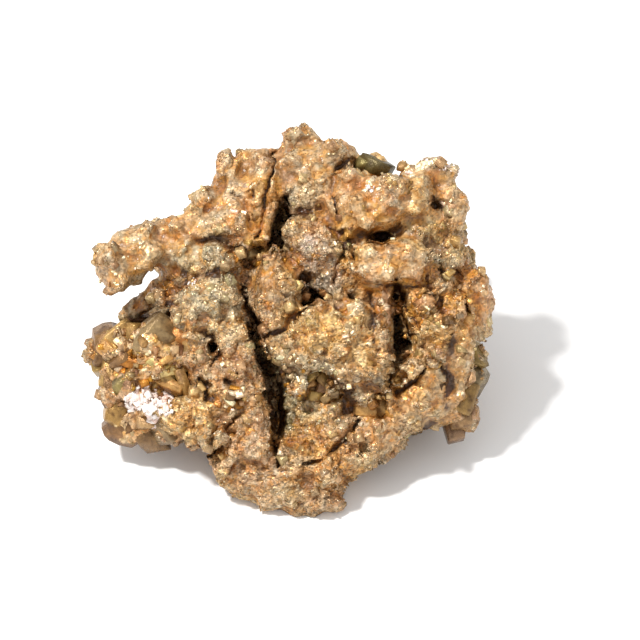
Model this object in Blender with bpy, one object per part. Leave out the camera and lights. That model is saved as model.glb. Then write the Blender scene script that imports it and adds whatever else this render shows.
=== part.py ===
"""A cluster of stalactitic pyrite, 83 mm across, grown as one piece.

Lumpy rods of pyrite stand close together on a low foot and lean out of it towards the display
side, with deep narrow gaps between them. Blocky crystals sit on the left and the right flank.
The foot is broken off flat, and the cluster rests on that break.

Units are metres and +Z is up. The origin is on the resting face, under the middle of the display
side. Most of the rods are laid out on the display side itself, in millimetres across it, up it
and out of it; that side leans back by DISPLAY_LEAN from upright.
"""

import math
import random

import bmesh
import bpy
import numpy as np
from mathutils import Euler, Vector

MM = 0.001
DISPLAY_LEAN = math.radians(45)
DISPLAY_HEIGHT = 28.0 * MM  # from the resting face up to the middle of the display side

NODE = "pyrite_specimen"
SHELL_VOXEL = 0.60 * MM  # the size at which overlapping nodules are fused
SMOOTHING_PASSES = 3
SWELL = 0.40 * MM  # added to every nodule, for what smoothing and thinning take off
TRIANGLES = 6750  # of the fused rods, before the crystals are joined on
NODULE_STEP = 0.55  # spacing of nodules along a rod, in radii
NODULE_STRAY = 0.22  # how far a nodule strays from its rod, in radii
NODULE_SPREAD = 0.12  # how much a nodule's radius varies
KNOBS_PER_NODULE = 6
KNOB_SIZES = (0.26, 0.44)  # radius of a knob, in radii of its nodule
KNOB_SEATS = (0.74, 0.90)  # how far from the nodule's middle a knob sits, in radii
PYRITOHEDRON_EDGE = 0.5  # half the length of a roof edge, for a cube of half side 1
CREVICE_TOP = 14.0  # mm out of the display side, clear of everything that is cut
CREVICE_TAPER = 0.72  # width of a crevice's floor as a share of its mouth
BREAK_SIZE = 200.0 * MM  # of the block that takes away what would lie below the resting face
SEED = 7

# Rods on the display side: each is a string of (across, up, out, radius), in mm, from its root.
DISPLAY_RODS = {
    "upper_left_finger": [
        (-10, 14, -12, 5.0), (-18.4, 17.6, -5, 4.4), (-24, 16.6, -2, 4.2), (-30, 14.4, 0, 4.8),
        (-35.0, 10.6, 1, 4.3),
    ],
    "lower_left_finger": [
        (-16, 8, -10, 4.0), (-22, 8.0, -6.0, 2.9), (-25, 6.6, -6.4, 2.4), (-28, 4.8, -6.4, 1.9),
        (-31, 2.6, -6.2, 1.5), (-33.4, 0.6, -6, 1.0),
    ],
    "finger_neck": [(-15, 9, -8, 4.0), (-21.6, 9.6, -4, 3.2), (-23.4, 11.4, -2, 3.0)],
    "shoulder_left": [(-10, 14, -14, 5.0), (-15.8, 22.0, -6, 4.2)],
    "shoulder_mid": [(-8, 16, -14, 5.0), (-11.6, 28.2, -4, 3.8)],
    "shoulder_right": [(-4, 18, -14, 5.0), (-6.0, 30.8, -3.5, 3.6)],
    "shoulder_fill": [(-13.6, 22.6, -2, 3.6), (-8.4, 25.4, -2, 3.8), (-9.6, 21.6, -1, 3.4)],
    "hanging_rod": [(-5.0, 29.2, -1, 2.9), (-4.7, 25, 0.5, 2.5), (-4.5, 20.8, 0.5, 2.0)],
    "golden_knobs": [(-9, 17.6, 1.5, 3.0), (-6.2, 17.4, 1, 2.6)],
    "left_band": [(-22.5, 15.4, 0.5, 2.8), (-18, 18.0, 0, 3.6), (-12, 19.4, 0.5, 3.8)],
    "grey_green_roll": [(-20, 12.6, 1, 2.5), (-15.2, 13.6, 2.6, 2.7), (-11.0, 13.4, 2.6, 2.4)],
    "roll_seat": [(-15, 9.4, 0.4, 3.6), (-19.4, 7.6, 0, 3.4), (-11.4, 10.4, 0, 2.6)],
    "plate_top": [
        (-21, 2.6, 2.0, 3.5), (-18.6, -0.6, 3.2, 3.8), (-16.6, 3.8, 3.6, 4.3), (-14.0, 6.4, 3.2, 3.9),
        (-12.4, 1.8, 3.8, 3.4),
    ],
    "plate_right": [
        (-12.8, -1, 3, 4.0), (-12.2, -5, 3, 4.4), (-10.2, -11, 3, 4.6), (-9.1, -18, 3, 4.7),
        (-8.2, -25, 2, 4.6),
    ],
    "plate_left": [(-17, -7, 2, 3.8), (-15.4, -13, 2, 4.6), (-14.6, -20, 1.4, 4.6)],
    "plate_lobe": [(-20.0, -17, -3, 5.0), (-20.6, -19.2, 0.6, 5.0)],
    "foot_front": [
        (-11.4, -29.6, -1, 4.8), (-8.6, -32.0, -1.4, 4.2), (-3, -33.2, -1.4, 4.6), (2.6, -34.4, -1.2, 4.6),
        (7.0, -33.6, -1.6, 4.2),
    ],
    "foot_front_upper": [(-9, -27, 0, 4.4), (-1, -29, 0.4, 4.2), (6, -29, 0.6, 4.2)],
    "foot_band": [
        (11.4, -28.2, -1, 4.0), (16.0, -24.8, -1, 4.0), (20.0, -21.4, -1, 3.8), (22.8, -18.2, -0.4, 4.0),
    ],
    "recess_back": [(1.4, -11, -7, 5.0), (8, -12, -6.4, 5.0), (16, -13, -5, 5.0), (20, -16, -3.6, 4.0)],
    "recess_left": [(1.6, -14, -4.8, 3.8), (1.8, -20, -3.6, 4.0), (1.6, -25.4, -2, 3.8)],
    "recess_right": [(6.4, -15.6, -4, 4.4), (7.4, -21.4, -2.4, 4.6), (12, -20.0, -2.0, 4.0)],
    "recess_ledge": [(15.6, -17.2, -2.4, 3.4), (18.8, -17.6, -1.0, 3.4)],
    "recess_knob": [(15.2, -20.8, 0.6, 2.0)],
    "block_stem": [(9, -12, -14, 6.0), (8, -6, -2, 6.0)],
    "block_left": [(-1.4, -3.4, 5.4, 3.8), (0.4, -6.4, 5.0, 3.6), (4.6, -6.8, 6.0, 4.0)],
    "block_top": [
        (4.6, 0.2, 6.0, 2.8), (5.6, -3.6, 6.6, 4.2), (10.4, -3.8, 6.8, 4.4), (13.2, 1.2, 5.6, 3.1),
    ],
    "block_top_knob": [(8.7, 1.0, 5.2, 1.8)],
    "block_right": [(15.6, -3.4, 5.8, 4.2), (11.0, -9.2, 5.8, 4.0), (16.2, -8.8, 5.0, 4.0), (17.4, -12.4, 3.2, 3.0)],
    "block_tongue": [(13.6, -13.0, 3.2, 2.8), (12.8, -15.6, 1.6, 1.7)],
    "smooth_column": [(18.8, 6.4, 2.2, 2.1), (18.8, 0, 2.8, 2.1), (19.0, -6, 2.4, 2.1), (19.0, -11, 1.4, 2.1)],
    "centre_rod": [
        (-4, -2, -10, 5.0), (-3.4, 11.2, 1.8, 2.6), (-2.8, 8.8, 3.0, 3.8), (-1.5, 5.8, 4.2, 4.4),
        (-2.4, 0.8, 4.4, 4.0),
    ],
    "centre_rod_flank": [(-5.6, 8.4, 0.4, 3.0), (-5.8, 3.0, 0.4, 3.0), (-5.0, -1.6, 1.0, 2.8)],
    "grey_rod": [
        (5, 8, -10, 5.0), (3.8, 17.2, 2.0, 4.4), (5.4, 13, 2.4, 4.5), (6.6, 9.0, 2.2, 3.3),
    ],
    "grey_rod_knobs": [(8.7, 7.2, 2.8, 2.2), (11, 12.6, 0.6, 4.0), (12.0, 8.6, 1.6, 2.8)],
    "rust_knob": [(1.6, 14.0, -0.4, 2.6), (3.0, 10.6, -1.0, 2.6)],
    "crown_stub": [(2, 28, -8, 4.0), (1.0, 33.6, -4.8, 3.2), (2.2, 36.6, -5, 2.9)],
    "crown_body": [
        (4, 18, -12, 6.0), (1.2, 29.0, -3.2, 3.6), (4.4, 30.6, -2.6, 4.4), (7.6, 32.0, -3.2, 4.0),
        (9.6, 33.6, -4, 3.0), (12.2, 32.8, -4.2, 2.0),
    ],
    "crown_lower": [(1.6, 25.6, -1.4, 3.2), (5.2, 26.4, -0.6, 4.0), (3.0, 22.8, -0.4, 2.8)],
    "upper_right_rod": [
        (8.6, 24.4, 0, 3.0), (12.4, 27, 0.6, 3.3), (12.4, 22.6, 3, 4.6), (16.8, 22, 3.8, 4.3),
        (20, 24.4, 3.4, 4.4), (24.8, 25.4, 2.6, 4.0),
    ],
    "upper_right_underside": [(9.6, 18.6, 1.6, 2.6), (14.4, 18.6, 3.2, 2.6), (20.2, 20.4, 2.8, 2.6)],
    "upper_right_stem": [(16, 12, -12, 7.0), (18, 21, -3, 6.0), (26, 22, -4, 5.0)],
    "top_right_lump": [(24.6, 29.0, -1.6, 2.4), (27.4, 30.2, -1.4, 2.4), (31.0, 28.6, -1.2, 2.6)],
    "right_lobe": [(28, 18, -8, 5.0), (30.4, 24.6, -2.2, 3.4), (32.8, 22.6, 0.2, 3.0)],
    "right_bar": [(32.2, 19.6, -0.4, 2.8), (28, 19.6, 0.2, 3.2), (23.6, 17.2, 0.4, 3.0)],
    "cross_bar": [
        (14.2, 13.2, 2.6, 2.6), (14.8, 9.4, 4.2, 2.9), (19.4, 10.6, 5.0, 3.6), (24.0, 12.6, 4.2, 3.6),
        (26.8, 11.2, 3.2, 2.4), (21.6, 8.8, 3.6, 2.6),
    ],
    "cross_bar_stem": [(20, 2, -12, 6.0), (18, 12, -2, 5.0), (25, 12, -2, 5.0)],
    "bar_seat": [(14, 6.6, 1.4, 2.4), (17, 6.8, 2.2, 2.4)],
    "right_neck": [(28, 10, -10, 5.0), (29.8, 13.6, -1.6, 3.8), (32.4, 12.0, -2.2, 3.4)],
    "right_mass_top": [(31, 4, -10, 6.0), (35.6, 6.6, -2.4, 3.8), (37.4, 4.6, -3.0, 3.8), (36.2, 1.6, -3.0, 3.6)],
    "right_mass": [
        (30, 0, -12, 7.0), (25.2, 4.4, 1.2, 4.2), (30.2, 6.2, 0.6, 4.4), (32, 1, 0.6, 4.8),
        (26.8, -0.2, 1.6, 4.2), (28.2, -4.4, 1.4, 4.4), (32.6, -5, 0.2, 4.4),
    ],
    "right_mass_edge": [(35.6, -1.4, -1.8, 3.6)],
    "right_limb": [(27.0, -8.6, 1.2, 4.4), (26.4, -12.8, 0.4, 4.3), (24.6, -15.8, 0.2, 3.8)],
    "right_flank": [
        (28, -10, -14, 7.0), (31.6, -9.4, -1, 4.4), (30.8, -14.4, -2.6, 4.4), (28.4, -18.4, -4.0, 4.0),
        (32.2, -18.0, -5.0, 3.2),
    ],
    "left_flank": [
        (-16, -10, -12, 7.0), (-24, -8, -4.6, 5.4), (-29.4, -8.4, -5.2, 5.0), (-33.8, -7.6, -5.4, 3.8),
        (-30, -14, -4.6, 5.2), (-26.6, -16.0, -3.6, 4.6),
    ],
    "left_flank_low": [(-22, -16, -8, 6.0), (-29.4, -19.4, -6.2, 4.6), (-24.6, -20.6, -4, 3.6)],
}

# Rods of the foot and of the back: (x, y, z, radius) in mm, in the object's own axes.
BACK_RODS = {
    "foot_front_core": [(-8, -14, 4, 8.0), (4, -17, 4, 8.5), (8, -9, 5, 8.5)],
    "foot_left": [(-15, -1, 6, 8.0), (-22, 5, 8, 7.0), (-20, 14, 6, 7.5)],
    "foot_middle": [(-4, -6, 3, 9.0), (0, 0, 4, 10.0), (2, 14, 5, 11.0)],
    "foot_right": [(17, -4, 5, 7.5), (25, 2, 7, 7.5), (22, 14, 6, 8.5)],
    "back_rise_left": [(-12, 12, 10, 8.0), (-11, 19, 20, 6.4), (-13, 24, 28, 4.6)],
    "back_rise_middle": [(2, 16, 14, 9.0), (3, 22, 26, 7.0), (3, 28, 34, 5.4)],
    "back_rise_right": [(18, 14, 14, 9.0), (20, 17, 26, 7.0), (20, 24, 34, 5.0)],
    "rear_finger_left": [(-16, 20, 10, 6.0), (-22, 27, 15, 4.6), (-26, 32, 19, 3.6)],
    "rear_finger_low": [(-4, 24, 8, 7.0), (-8, 33, 8, 5.0), (-10, 38, 11, 3.8)],
    "rear_finger_middle": [(4, 26, 16, 6.0), (6, 34, 20, 4.6), (5, 38, 26, 3.6)],
    "rear_finger_right": [(18, 22, 12, 6.5), (24, 31, 14, 4.6), (28, 36, 18, 3.6)],
    "rear_knob_right": [(28, 16, 16, 6.0), (33, 22, 22, 4.0)],
    "rear_knob_left": [(-20, 16, 10, 6.0), (-25.6, 17, 12, 4.0)],
    "rear_foot": [(12, 26, 4, 6.0), (14, 34, 5, 4.6)],
    "side_left": [(-26, 4, 12, 5.0), (-32, 8, 15, 3.6)],
    "side_left_upper": [(-14, 10, 16, 7.0), (-22, 7, 17, 5.4), (-27, 8, 18, 4.2)],
    "side_right": [(30, 4, 12, 5.4), (34, 9, 17, 4.0)],
}

# Crystals on the back: (x, y, z, radius) in mm in the object's own axes, form, and a turn.
BACK_CRYSTALS = {
    "rear_left_cube": (-26.6, 32.6, 20.4, 3.8, "cube", (30, 20, 50)),
    "rear_low_cube": (-10.4, 38.2, 12.0, 4.0, "cube", (60, 25, 15)),
    "rear_middle_cube": (5.6, 38.0, 27.0, 3.9, "cube", (20, 50, 65)),
    "rear_foot_crystal": (14.6, 35.6, 6.6, 4.6, "pyritohedron", (10, 35, 45)),
    "rear_right_crystal": (28.6, 36.6, 18.6, 4.2, "pyritohedron", (50, 10, 20)),
    "rear_right_cube": (33.8, 22.6, 22.8, 4.2, "cube", (45, 30, 10)),
    "rear_rise_crystal": (-9.4, 30.6, 20.4, 4.4, "pyritohedron", (25, 60, 35)),
}

# Crevices: an outline (across, up) in mm on the display side, and how far out its floor lies.
CREVICES = {
    "long_slot": (-9.5, [
        (-9.5, 5.8), (-8.9, 4.2), (-9.3, 2.2), (-8.8, -0.8), (-8.0, -4.0), (-7.0, -7.4), (-5.4, -11.4),
        (-4.8, -14), (-4.1, -17), (-4.0, -22), (-3.2, -25.2), (-2.3, -29.6), (-1.9, -28), (-2.0, -24),
        (-2.2, -18), (-2.2, -13), (-2.8, -10), (-4.4, -8.6), (-4.9, -6.4), (-5.3, -3.2), (-5.9, -2.2),
        (-7.4, -0.8), (-8.3, 2), (-8.0, 4), (-8.8, 6),
    ]),
    "right_slot": (-10, [
        (20.4, 6.6), (20.7, 3), (20.8, -2), (20.8, -8), (20.7, -13.2), (21.0, -14.6), (21.5, -13.6),
        (22, -10), (22.4, -6), (23.3, -4), (23.2, -2), (22.4, 0.2), (21.5, 2.2), (21.1, 4.8), (22.6, 6.8),
    ]),
    "upper_slot": (-12, [
        (-1.6, 25.4), (-2.2, 23), (-2.6, 21.4), (-3.4, 18.8), (-3.0, 16), (-4, 14.8), (-5.6, 13.8),
        (-7.6, 12.8), (-9, 11.6), (-8.2, 10.4), (-6.4, 11.4), (-5.6, 12.6), (-3.6, 13.8), (-2, 14.4),
        (-0.4, 15.4), (-0.9, 16.8), (-0.4, 18.4), (-1, 21.6), (-0.6, 23.4),
    ]),
    "centre_gap": (-5, [
        (1.0, 10.6), (1.4, 9.6), (2.4, 8), (3, 6), (2.6, 4), (2.0, 2.2), (4, 2.9), (6.2, 2.7), (8, 3.4),
        (10.2, 2.9), (10.5, 3.6), (7.2, 4.6), (7.6, 6.2), (6, 5.6), (4.6, 5.8), (3.6, 7.2), (2.2, 8.8),
    ]),
    "ledge_gap": (-1.5, [
        (15.2, 16.6), (17.2, 15.7), (18.6, 15.3), (20.2, 16.4), (21.6, 18.5), (20.2, 17.8), (17, 17.6),
    ]),
    "crown_crack": (-3, [(-0.4, 20.6), (2.0, 21.2), (5.2, 22.4), (5.3, 22.8), (2.2, 22.0), (-0.3, 21.6)]),
    "block_crack": (-3, [
        (10.3, -14.6), (10.3, -18.2), (13.2, -18.3), (13.8, -17.4), (11.2, -17.5), (11.0, -14.6),
    ]),
    "plate_crack_low": (-1.5, [
        (-13.8, -13.0), (-11.8, -15.4), (-9.9, -18.6), (-9.6, -18.4), (-11.0, -15.2), (-13.2, -12.8),
    ]),
    "plate_pit_high": (-2.0, [(-16.6, -4.2), (-16.2, -5.6), (-15.0, -9.0), (-14.4, -5.0), (-15.2, -4.0)]),
    "plate_pit_low": (-2.0, [(-17.9, -12.0), (-17.2, -13.6), (-16.8, -16.4), (-16.2, -14.2), (-15.8, -12.6)]),
    "lobe_crack": (-3.0, [(-14.4, -22.6), (-12.4, -22.4), (-10.8, -21.2), (-12.4, -21.8), (-14.2, -22.0)]),
    "finger_pit": (-9.0, [(-25.2, 0.4), (-23.4, 0.8), (-23.6, 2.4), (-22.6, 4.3), (-24.8, 3.1)]),
    "shoulder_pit": (-4.0, [(-9.2, 25.0), (-7.8, 24.8), (-7.6, 26.0), (-8.8, 26.2)]),
    "bar_pit": (-4.5, [(27.4, 22.2), (30.2, 21.8), (30.0, 23.2), (28.4, 23.8)]),
    "neck_pit": (-5.5, [(33.4, 8.4), (34.6, 8.2), (34.8, 9.6), (34.0, 10.2)]),
}

# Crystals with flat faces: (across, up, out, radius) in mm on the display side, form, and a turn.
CRYSTALS = {
    "left_point": (-37.8, -6.4, -5.4, 4.3, "pyritohedron", (20, 35, 10)),
    "left_upper": (-33.8, -4.2, -2.6, 4.2, "cube", (35, 20, 40)),
    "left_boulder": (-27.6, -4.4, 0.6, 4.6, "pyritohedron", (10, 50, 25)),
    "left_inner": (-23.4, -6.8, 0.8, 4.2, "pyritohedron", (60, 15, 70)),
    "left_shard": (-19.0, -6.4, 2.0, 3.4, "cube", (50, 35, 15)),
    "left_middle": (-28.0, -9.8, 0.0, 4.6, "cube", (30, 40, 75)),
    "left_edge": (-34.6, -10.0, -3.4, 3.8, "cube", (15, 30, 50)),
    "left_smooth": (-31.4, -12.4, -1.6, 4.2, "pyritohedron", (80, 20, 5)),
    "left_low_edge": (-34.4, -15.2, -4.6, 4.2, "pyritohedron", (25, 75, 30)),
    "left_bottom": (-32.4, -20.4, -6.4, 4.8, "pyritohedron", (70, 5, 55)),
    "left_bottom_inner": (-27.4, -21.0, -4.8, 4.4, "cube", (40, 55, 20)),
    "left_patch_seat": (-28.4, -16.6, -1.6, 4.4, "pyritohedron", (45, 30, 60)),
    "right_upper": (36.2, -7.0, -5.2, 3.6, "pyritohedron", (30, 10, 65)),
    "right_olive": (35.4, -15.4, -4.4, 3.5, "cube", (20, 45, 30)),
    "right_low": (34.2, -18.8, -6.0, 3.5, "pyritohedron", (65, 25, 10)),
    "right_tip": (33.0, -21.6, -7.0, 2.3, "cube", (35, 15, 55)),
    "right_step": (36.8, -11.6, -5.6, 2.8, "cube", (55, 30, 5)),
    "crown_crystal": (16.4, 30.0, -4.8, 4.0, "pyritohedron", (15, 65, 40)),
    "flank_facet": (31.0, -11.6, 1.0, 3.6, "cube", (25, 50, 20)),
    "limb_facet": (22.8, -19.6, 0.2, 3.8, "pyritohedron", (75, 40, 35)),
}


def on_display(across, up, out):
    """A point given on the display side, in mm, as a point of the object, in metres."""
    lean_sin, lean_cos = math.sin(DISPLAY_LEAN), math.cos(DISPLAY_LEAN)
    y = up * lean_sin - out * lean_cos
    z = up * lean_cos + out * lean_sin
    return Vector((across * MM, y * MM, z * MM + DISPLAY_HEIGHT))


def in_object(x, y, z):
    """A point given in mm along the object's own axes, in metres."""
    return Vector((x, y, z)) * MM


def clear_scene():
    for obj in list(bpy.data.objects):
        bpy.data.objects.remove(obj)


def new_object(name, mesh):
    obj = bpy.data.objects.new(name, mesh)
    bpy.context.scene.collection.objects.link(obj)
    return obj


def helper_collection(name):
    """A collection for shapes that are joined on or cut away, and that aren't drawn themselves."""
    collection = bpy.data.collections.new(name)
    bpy.context.scene.collection.children.link(collection)
    collection.hide_render = True
    return collection


def add_helper(collection, name, build):
    bmesh.ops.recalc_face_normals(build, faces=build.faces)
    mesh = bpy.data.meshes.new(name)
    build.to_mesh(mesh)
    build.free()
    helper = bpy.data.objects.new(name, mesh)
    collection.objects.link(helper)
    helper.hide_render = True
    helper.display_type = "WIRE"
    return helper


def random_direction(rng):
    height = rng.uniform(-1, 1)
    turn = rng.uniform(0, 2 * math.pi)
    reach = math.sqrt(1 - height * height)
    return Vector((reach * math.cos(turn), reach * math.sin(turn), height))


def nodules_of(rod, place, rng):
    """(centre, radius) of the overlapping nodules that a rod is built from, with their knobs."""
    knots = [(place(*knot[:3]), knot[3] * MM) for knot in rod]
    nodules = [knots[0]]
    for (start, start_radius), (end, end_radius) in zip(knots, knots[1:]):
        spacing = NODULE_STEP * (start_radius + end_radius) / 2
        steps = max(1, round((end - start).length / spacing))
        for step in range(1, steps + 1):
            share = step / steps
            radius = start_radius + share * (end_radius - start_radius)
            between = step != steps
            stray = random_direction(rng) * NODULE_STRAY * radius * between
            radius *= 1 + rng.uniform(-NODULE_SPREAD, NODULE_SPREAD) * between
            nodules.append((start.lerp(end, share) + stray, radius))
    knobs = []
    for centre, radius in nodules:
        for _ in range(KNOBS_PER_NODULE):
            knob_radius = rng.uniform(*KNOB_SIZES) * radius
            seat = centre + random_direction(rng) * radius * rng.uniform(*KNOB_SEATS)
            knobs.append((seat, knob_radius))
    return nodules + knobs


def mesh_of_nodules(nodules):
    """One mesh with a ball for every nodule, each a copy of the same unit ball."""
    build = bmesh.new()
    bmesh.ops.create_icosphere(build, subdivisions=2, radius=1.0)
    ball = np.array([vert.co[:] for vert in build.verts])
    faces = np.array([[vert.index for vert in face.verts] for face in build.faces])
    build.free()
    centres = np.array([centre[:] for centre, _ in nodules])
    radii = np.array([radius for _, radius in nodules]) + SWELL
    points = centres[:, None] + radii[:, None, None] * ball[None]
    corners = faces[None] + len(ball) * np.arange(len(nodules))[:, None, None]
    mesh = bpy.data.meshes.new("nodules")
    mesh.from_pydata(points.reshape(-1, 3).tolist(), [], corners.reshape(-1, 3).tolist())
    return mesh


def evaluated_mesh(obj):
    """A new mesh with the object's modifiers applied."""
    graph = bpy.context.evaluated_depsgraph_get()
    return bpy.data.meshes.new_from_object(obj.evaluated_get(graph))


def keep_outer_shell(mesh):
    """Deletes every shell but the largest, such as the skin of a bubble shut in between rods."""
    build = bmesh.new()
    build.from_mesh(mesh)
    unseen = set(build.verts)
    shells = []
    while unseen:
        front = [unseen.pop()]
        shell = list(front)
        while front:
            vert = front.pop()
            for edge in vert.link_edges:
                other = edge.other_vert(vert)
                if other in unseen:
                    unseen.remove(other)
                    front.append(other)
                    shell.append(other)
        shells.append(shell)
    shells.sort(key=len)
    loose = [vert for shell in shells[:-1] for vert in shell]
    bmesh.ops.delete(build, geom=loose, context="VERTS")
    build.to_mesh(mesh)
    build.free()
    return mesh


def fused_rods():
    """All rods as one closed skin."""
    rng = random.Random(SEED)
    balls = []
    for rod in DISPLAY_RODS.values():
        balls += nodules_of(rod, on_display, rng)
    for rod in BACK_RODS.values():
        balls += nodules_of(rod, in_object, rng)
    nodules = new_object("nodules", mesh_of_nodules(balls))
    fuse = nodules.modifiers.new("fuse", "REMESH")
    fuse.mode = "VOXEL"
    fuse.voxel_size = SHELL_VOXEL
    soften = nodules.modifiers.new("soften", "SMOOTH")
    soften.factor = 0.5
    soften.iterations = SMOOTHING_PASSES
    bpy.context.view_layer.update()
    skin = keep_outer_shell(evaluated_mesh(nodules))
    bpy.data.objects.remove(nodules)
    return skin


def thinned(skin):
    """The skin with as many triangles as TRIANGLES, fewest where it is flattest."""
    rods = new_object("rods", skin)
    thin = rods.modifiers.new("thin", "DECIMATE")
    thin.ratio = TRIANGLES / sum(len(face.vertices) - 2 for face in skin.polygons)
    bpy.context.view_layer.update()
    mesh = evaluated_mesh(rods)
    bpy.data.objects.remove(rods)
    return mesh


def corners_of(form):
    """Corners of a crystal form that reaches 1 from its middle."""
    cube = [Vector((x, y, z)) for x in (-1, 1) for y in (-1, 1) for z in (-1, 1)]
    if form == "cube":
        return [corner / math.sqrt(3) for corner in cube]
    high, low = PYRITOHEDRON_EDGE + 1, 1 - PYRITOHEDRON_EDGE ** 2
    roof = [
        Vector(corner)
        for a in (-high, high)
        for b in (-low, low)
        for corner in ((0, a, b), (a, b, 0), (b, 0, a))
    ]
    reach = math.sqrt(high * high + low * low)
    return [corner / reach for corner in cube + roof]


def add_crystal(collection, name, crystal, place):
    radius, form, turn = crystal[3:]
    turned = Euler([math.radians(angle) for angle in turn]).to_matrix()
    centre = place(*crystal[:3])
    build = bmesh.new()
    for corner in corners_of(form):
        build.verts.new(centre + turned @ corner * radius * MM)
    hull = bmesh.ops.convex_hull(build, input=build.verts)
    bmesh.ops.delete(build, geom=hull["geom_interior"], context="VERTS")
    add_helper(collection, name, build)


def add_crevice(collection, name, floor, outline):
    """A prism through the display side that narrows to its floor."""
    middle = Vector((sum(a for a, _ in outline), sum(u for _, u in outline))) / len(outline)
    build = bmesh.new()
    rims = []
    for out, scale in ((CREVICE_TOP, 1.0), (floor, CREVICE_TAPER)):
        rim = []
        for across, up in outline:
            point = middle + (Vector((across, up)) - middle) * scale
            rim.append(build.verts.new(on_display(point.x, point.y, out)))
        rims.append(rim)
    build.faces.new(rims[0])
    build.faces.new(rims[1])
    for index in range(len(outline)):
        after = (index + 1) % len(outline)
        build.faces.new((rims[0][index], rims[0][after], rims[1][after], rims[1][index]))
    add_helper(collection, name, build)


def add_booleans(obj, operation, collection):
    for helper in collection.objects:
        modifier = obj.modifiers.new(helper.name, "BOOLEAN")
        modifier.operation = operation
        modifier.solver = "EXACT"
        modifier.object = helper


def pyrite_material():
    """Brassy gold with a brown tarnish."""
    material = bpy.data.materials.new("tarnished_pyrite")
    material.use_nodes = True
    shader = material.node_tree.nodes["Principled BSDF"]
    shader.inputs["Base Color"].default_value = (0.42, 0.27, 0.13, 1.0)
    shader.inputs["Metallic"].default_value = 0.35
    shader.inputs["Roughness"].default_value = 0.5
    return material


def main():
    clear_scene()
    cluster = new_object(NODE, thinned(fused_rods()))

    crystals = helper_collection("crystals")
    for name, crystal in CRYSTALS.items():
        add_crystal(crystals, name, crystal, on_display)
    for name, crystal in BACK_CRYSTALS.items():
        add_crystal(crystals, name, crystal, in_object)
    add_booleans(cluster, "UNION", crystals)

    breaks = helper_collection("breaks")
    for name, (floor, outline) in CREVICES.items():
        add_crevice(breaks, name, floor, outline)
    build = bmesh.new()
    bmesh.ops.create_cube(build, size=BREAK_SIZE)
    bmesh.ops.translate(build, verts=build.verts, vec=(0, 0, -BREAK_SIZE / 2))
    add_helper(breaks, "foot_break", build)
    add_booleans(cluster, "DIFFERENCE", breaks)
    triangulate = cluster.modifiers.new("triangulate", "TRIANGULATE")
    triangulate.quad_method = "BEAUTY"
    cluster.data.materials.append(pyrite_material())


main()
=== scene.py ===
# %% [markdown]
# # A cluster of stalactitic pyrite
#
# Pyrite is iron sulphide: a brassy metal-like mineral that grows as cubes and other blocky crystals.
# Here it grew as lumpy rods side by side, and then a druse, a skin of crystals under a millimetre,
# grew over nearly all of it. Iron rust stains the druse brown and orange, and the grains that stayed
# bright glitter between the dull ones.
#
# The solid model that this file loads has the rods, the gaps and the main crystals. This file grows
# the finer relief on it, then the druse, the large crystals on the flanks and a crust of white
# mineral, and gives each its finish.

import math

import bmesh
import bpy
import numpy as np
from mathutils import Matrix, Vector
from mathutils.bvhtree import BVHTree


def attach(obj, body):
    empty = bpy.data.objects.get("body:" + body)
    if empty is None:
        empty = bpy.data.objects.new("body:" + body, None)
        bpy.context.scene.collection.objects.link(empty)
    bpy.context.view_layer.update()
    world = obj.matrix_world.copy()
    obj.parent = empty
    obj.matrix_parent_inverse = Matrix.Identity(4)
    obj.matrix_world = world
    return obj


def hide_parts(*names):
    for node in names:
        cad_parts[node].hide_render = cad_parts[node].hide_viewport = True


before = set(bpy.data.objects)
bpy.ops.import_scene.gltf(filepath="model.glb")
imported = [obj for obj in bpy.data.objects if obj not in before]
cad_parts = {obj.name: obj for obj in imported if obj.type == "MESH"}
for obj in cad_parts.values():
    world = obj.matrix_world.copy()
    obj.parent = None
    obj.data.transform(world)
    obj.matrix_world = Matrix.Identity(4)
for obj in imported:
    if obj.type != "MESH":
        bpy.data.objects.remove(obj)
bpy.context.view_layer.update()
NODE = "pyrite_specimen"
MM = 0.001

# %% [markdown]
# ## Two ways to say where something is
#
# The cluster leans back, so that its display side faces half up and half forwards. A place on that
# side is easiest to give in millimetres across it, up it and out of it. One pair of functions turns
# such places into the model's own axes and back, for whole arrays at once.

# %% Display side to model and back
LEAN = math.radians(45)
DISPLAY_HEIGHT = 28.0  # mm from the resting face to the middle of the display side
ACROSS = np.array([1.0, 0.0, 0.0])
UP = np.array([0.0, math.sin(LEAN), math.cos(LEAN)])
OUT = np.array([0.0, -math.cos(LEAN), math.sin(LEAN)])
DISPLAY_MIDDLE = np.array([0.0, 0.0, DISPLAY_HEIGHT])


def from_display(places):
    """(across, up, out) rows in mm, each a sum of steps along the three directions, as model mm."""
    places = np.asarray(places, float)
    return DISPLAY_MIDDLE + places @ np.array([ACROSS, UP, OUT])


def to_display(points):
    """Model mm as (across, up, out): how far each point lies along each of the three directions."""
    return (np.asarray(points, float) - DISPLAY_MIDDLE) @ np.array([ACROSS, UP, OUT]).T


print("display middle, mm:", from_display([0, 0, 0]))

# %% [markdown]
# ## Putting arrays into a mesh
#
# Every piece here is worked out as arrays of points and triangles. One function turns them into an
# object, and gives each point the colours or numbers that its material reads.


# %% Mesh from arrays
def in_scene(name, data):
    """An object that holds this mesh, lamp or camera, put into the scene."""
    item = bpy.data.objects.new(name, data)
    bpy.context.scene.collection.objects.link(item)
    return item


def mesh_points(mesh):
    """A mesh's points as rows of three, in metres."""
    flat = np.empty(len(mesh.vertices) * 3, np.float32)
    mesh.vertices.foreach_get("co", flat)
    return flat.reshape(-1, 3)


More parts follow.
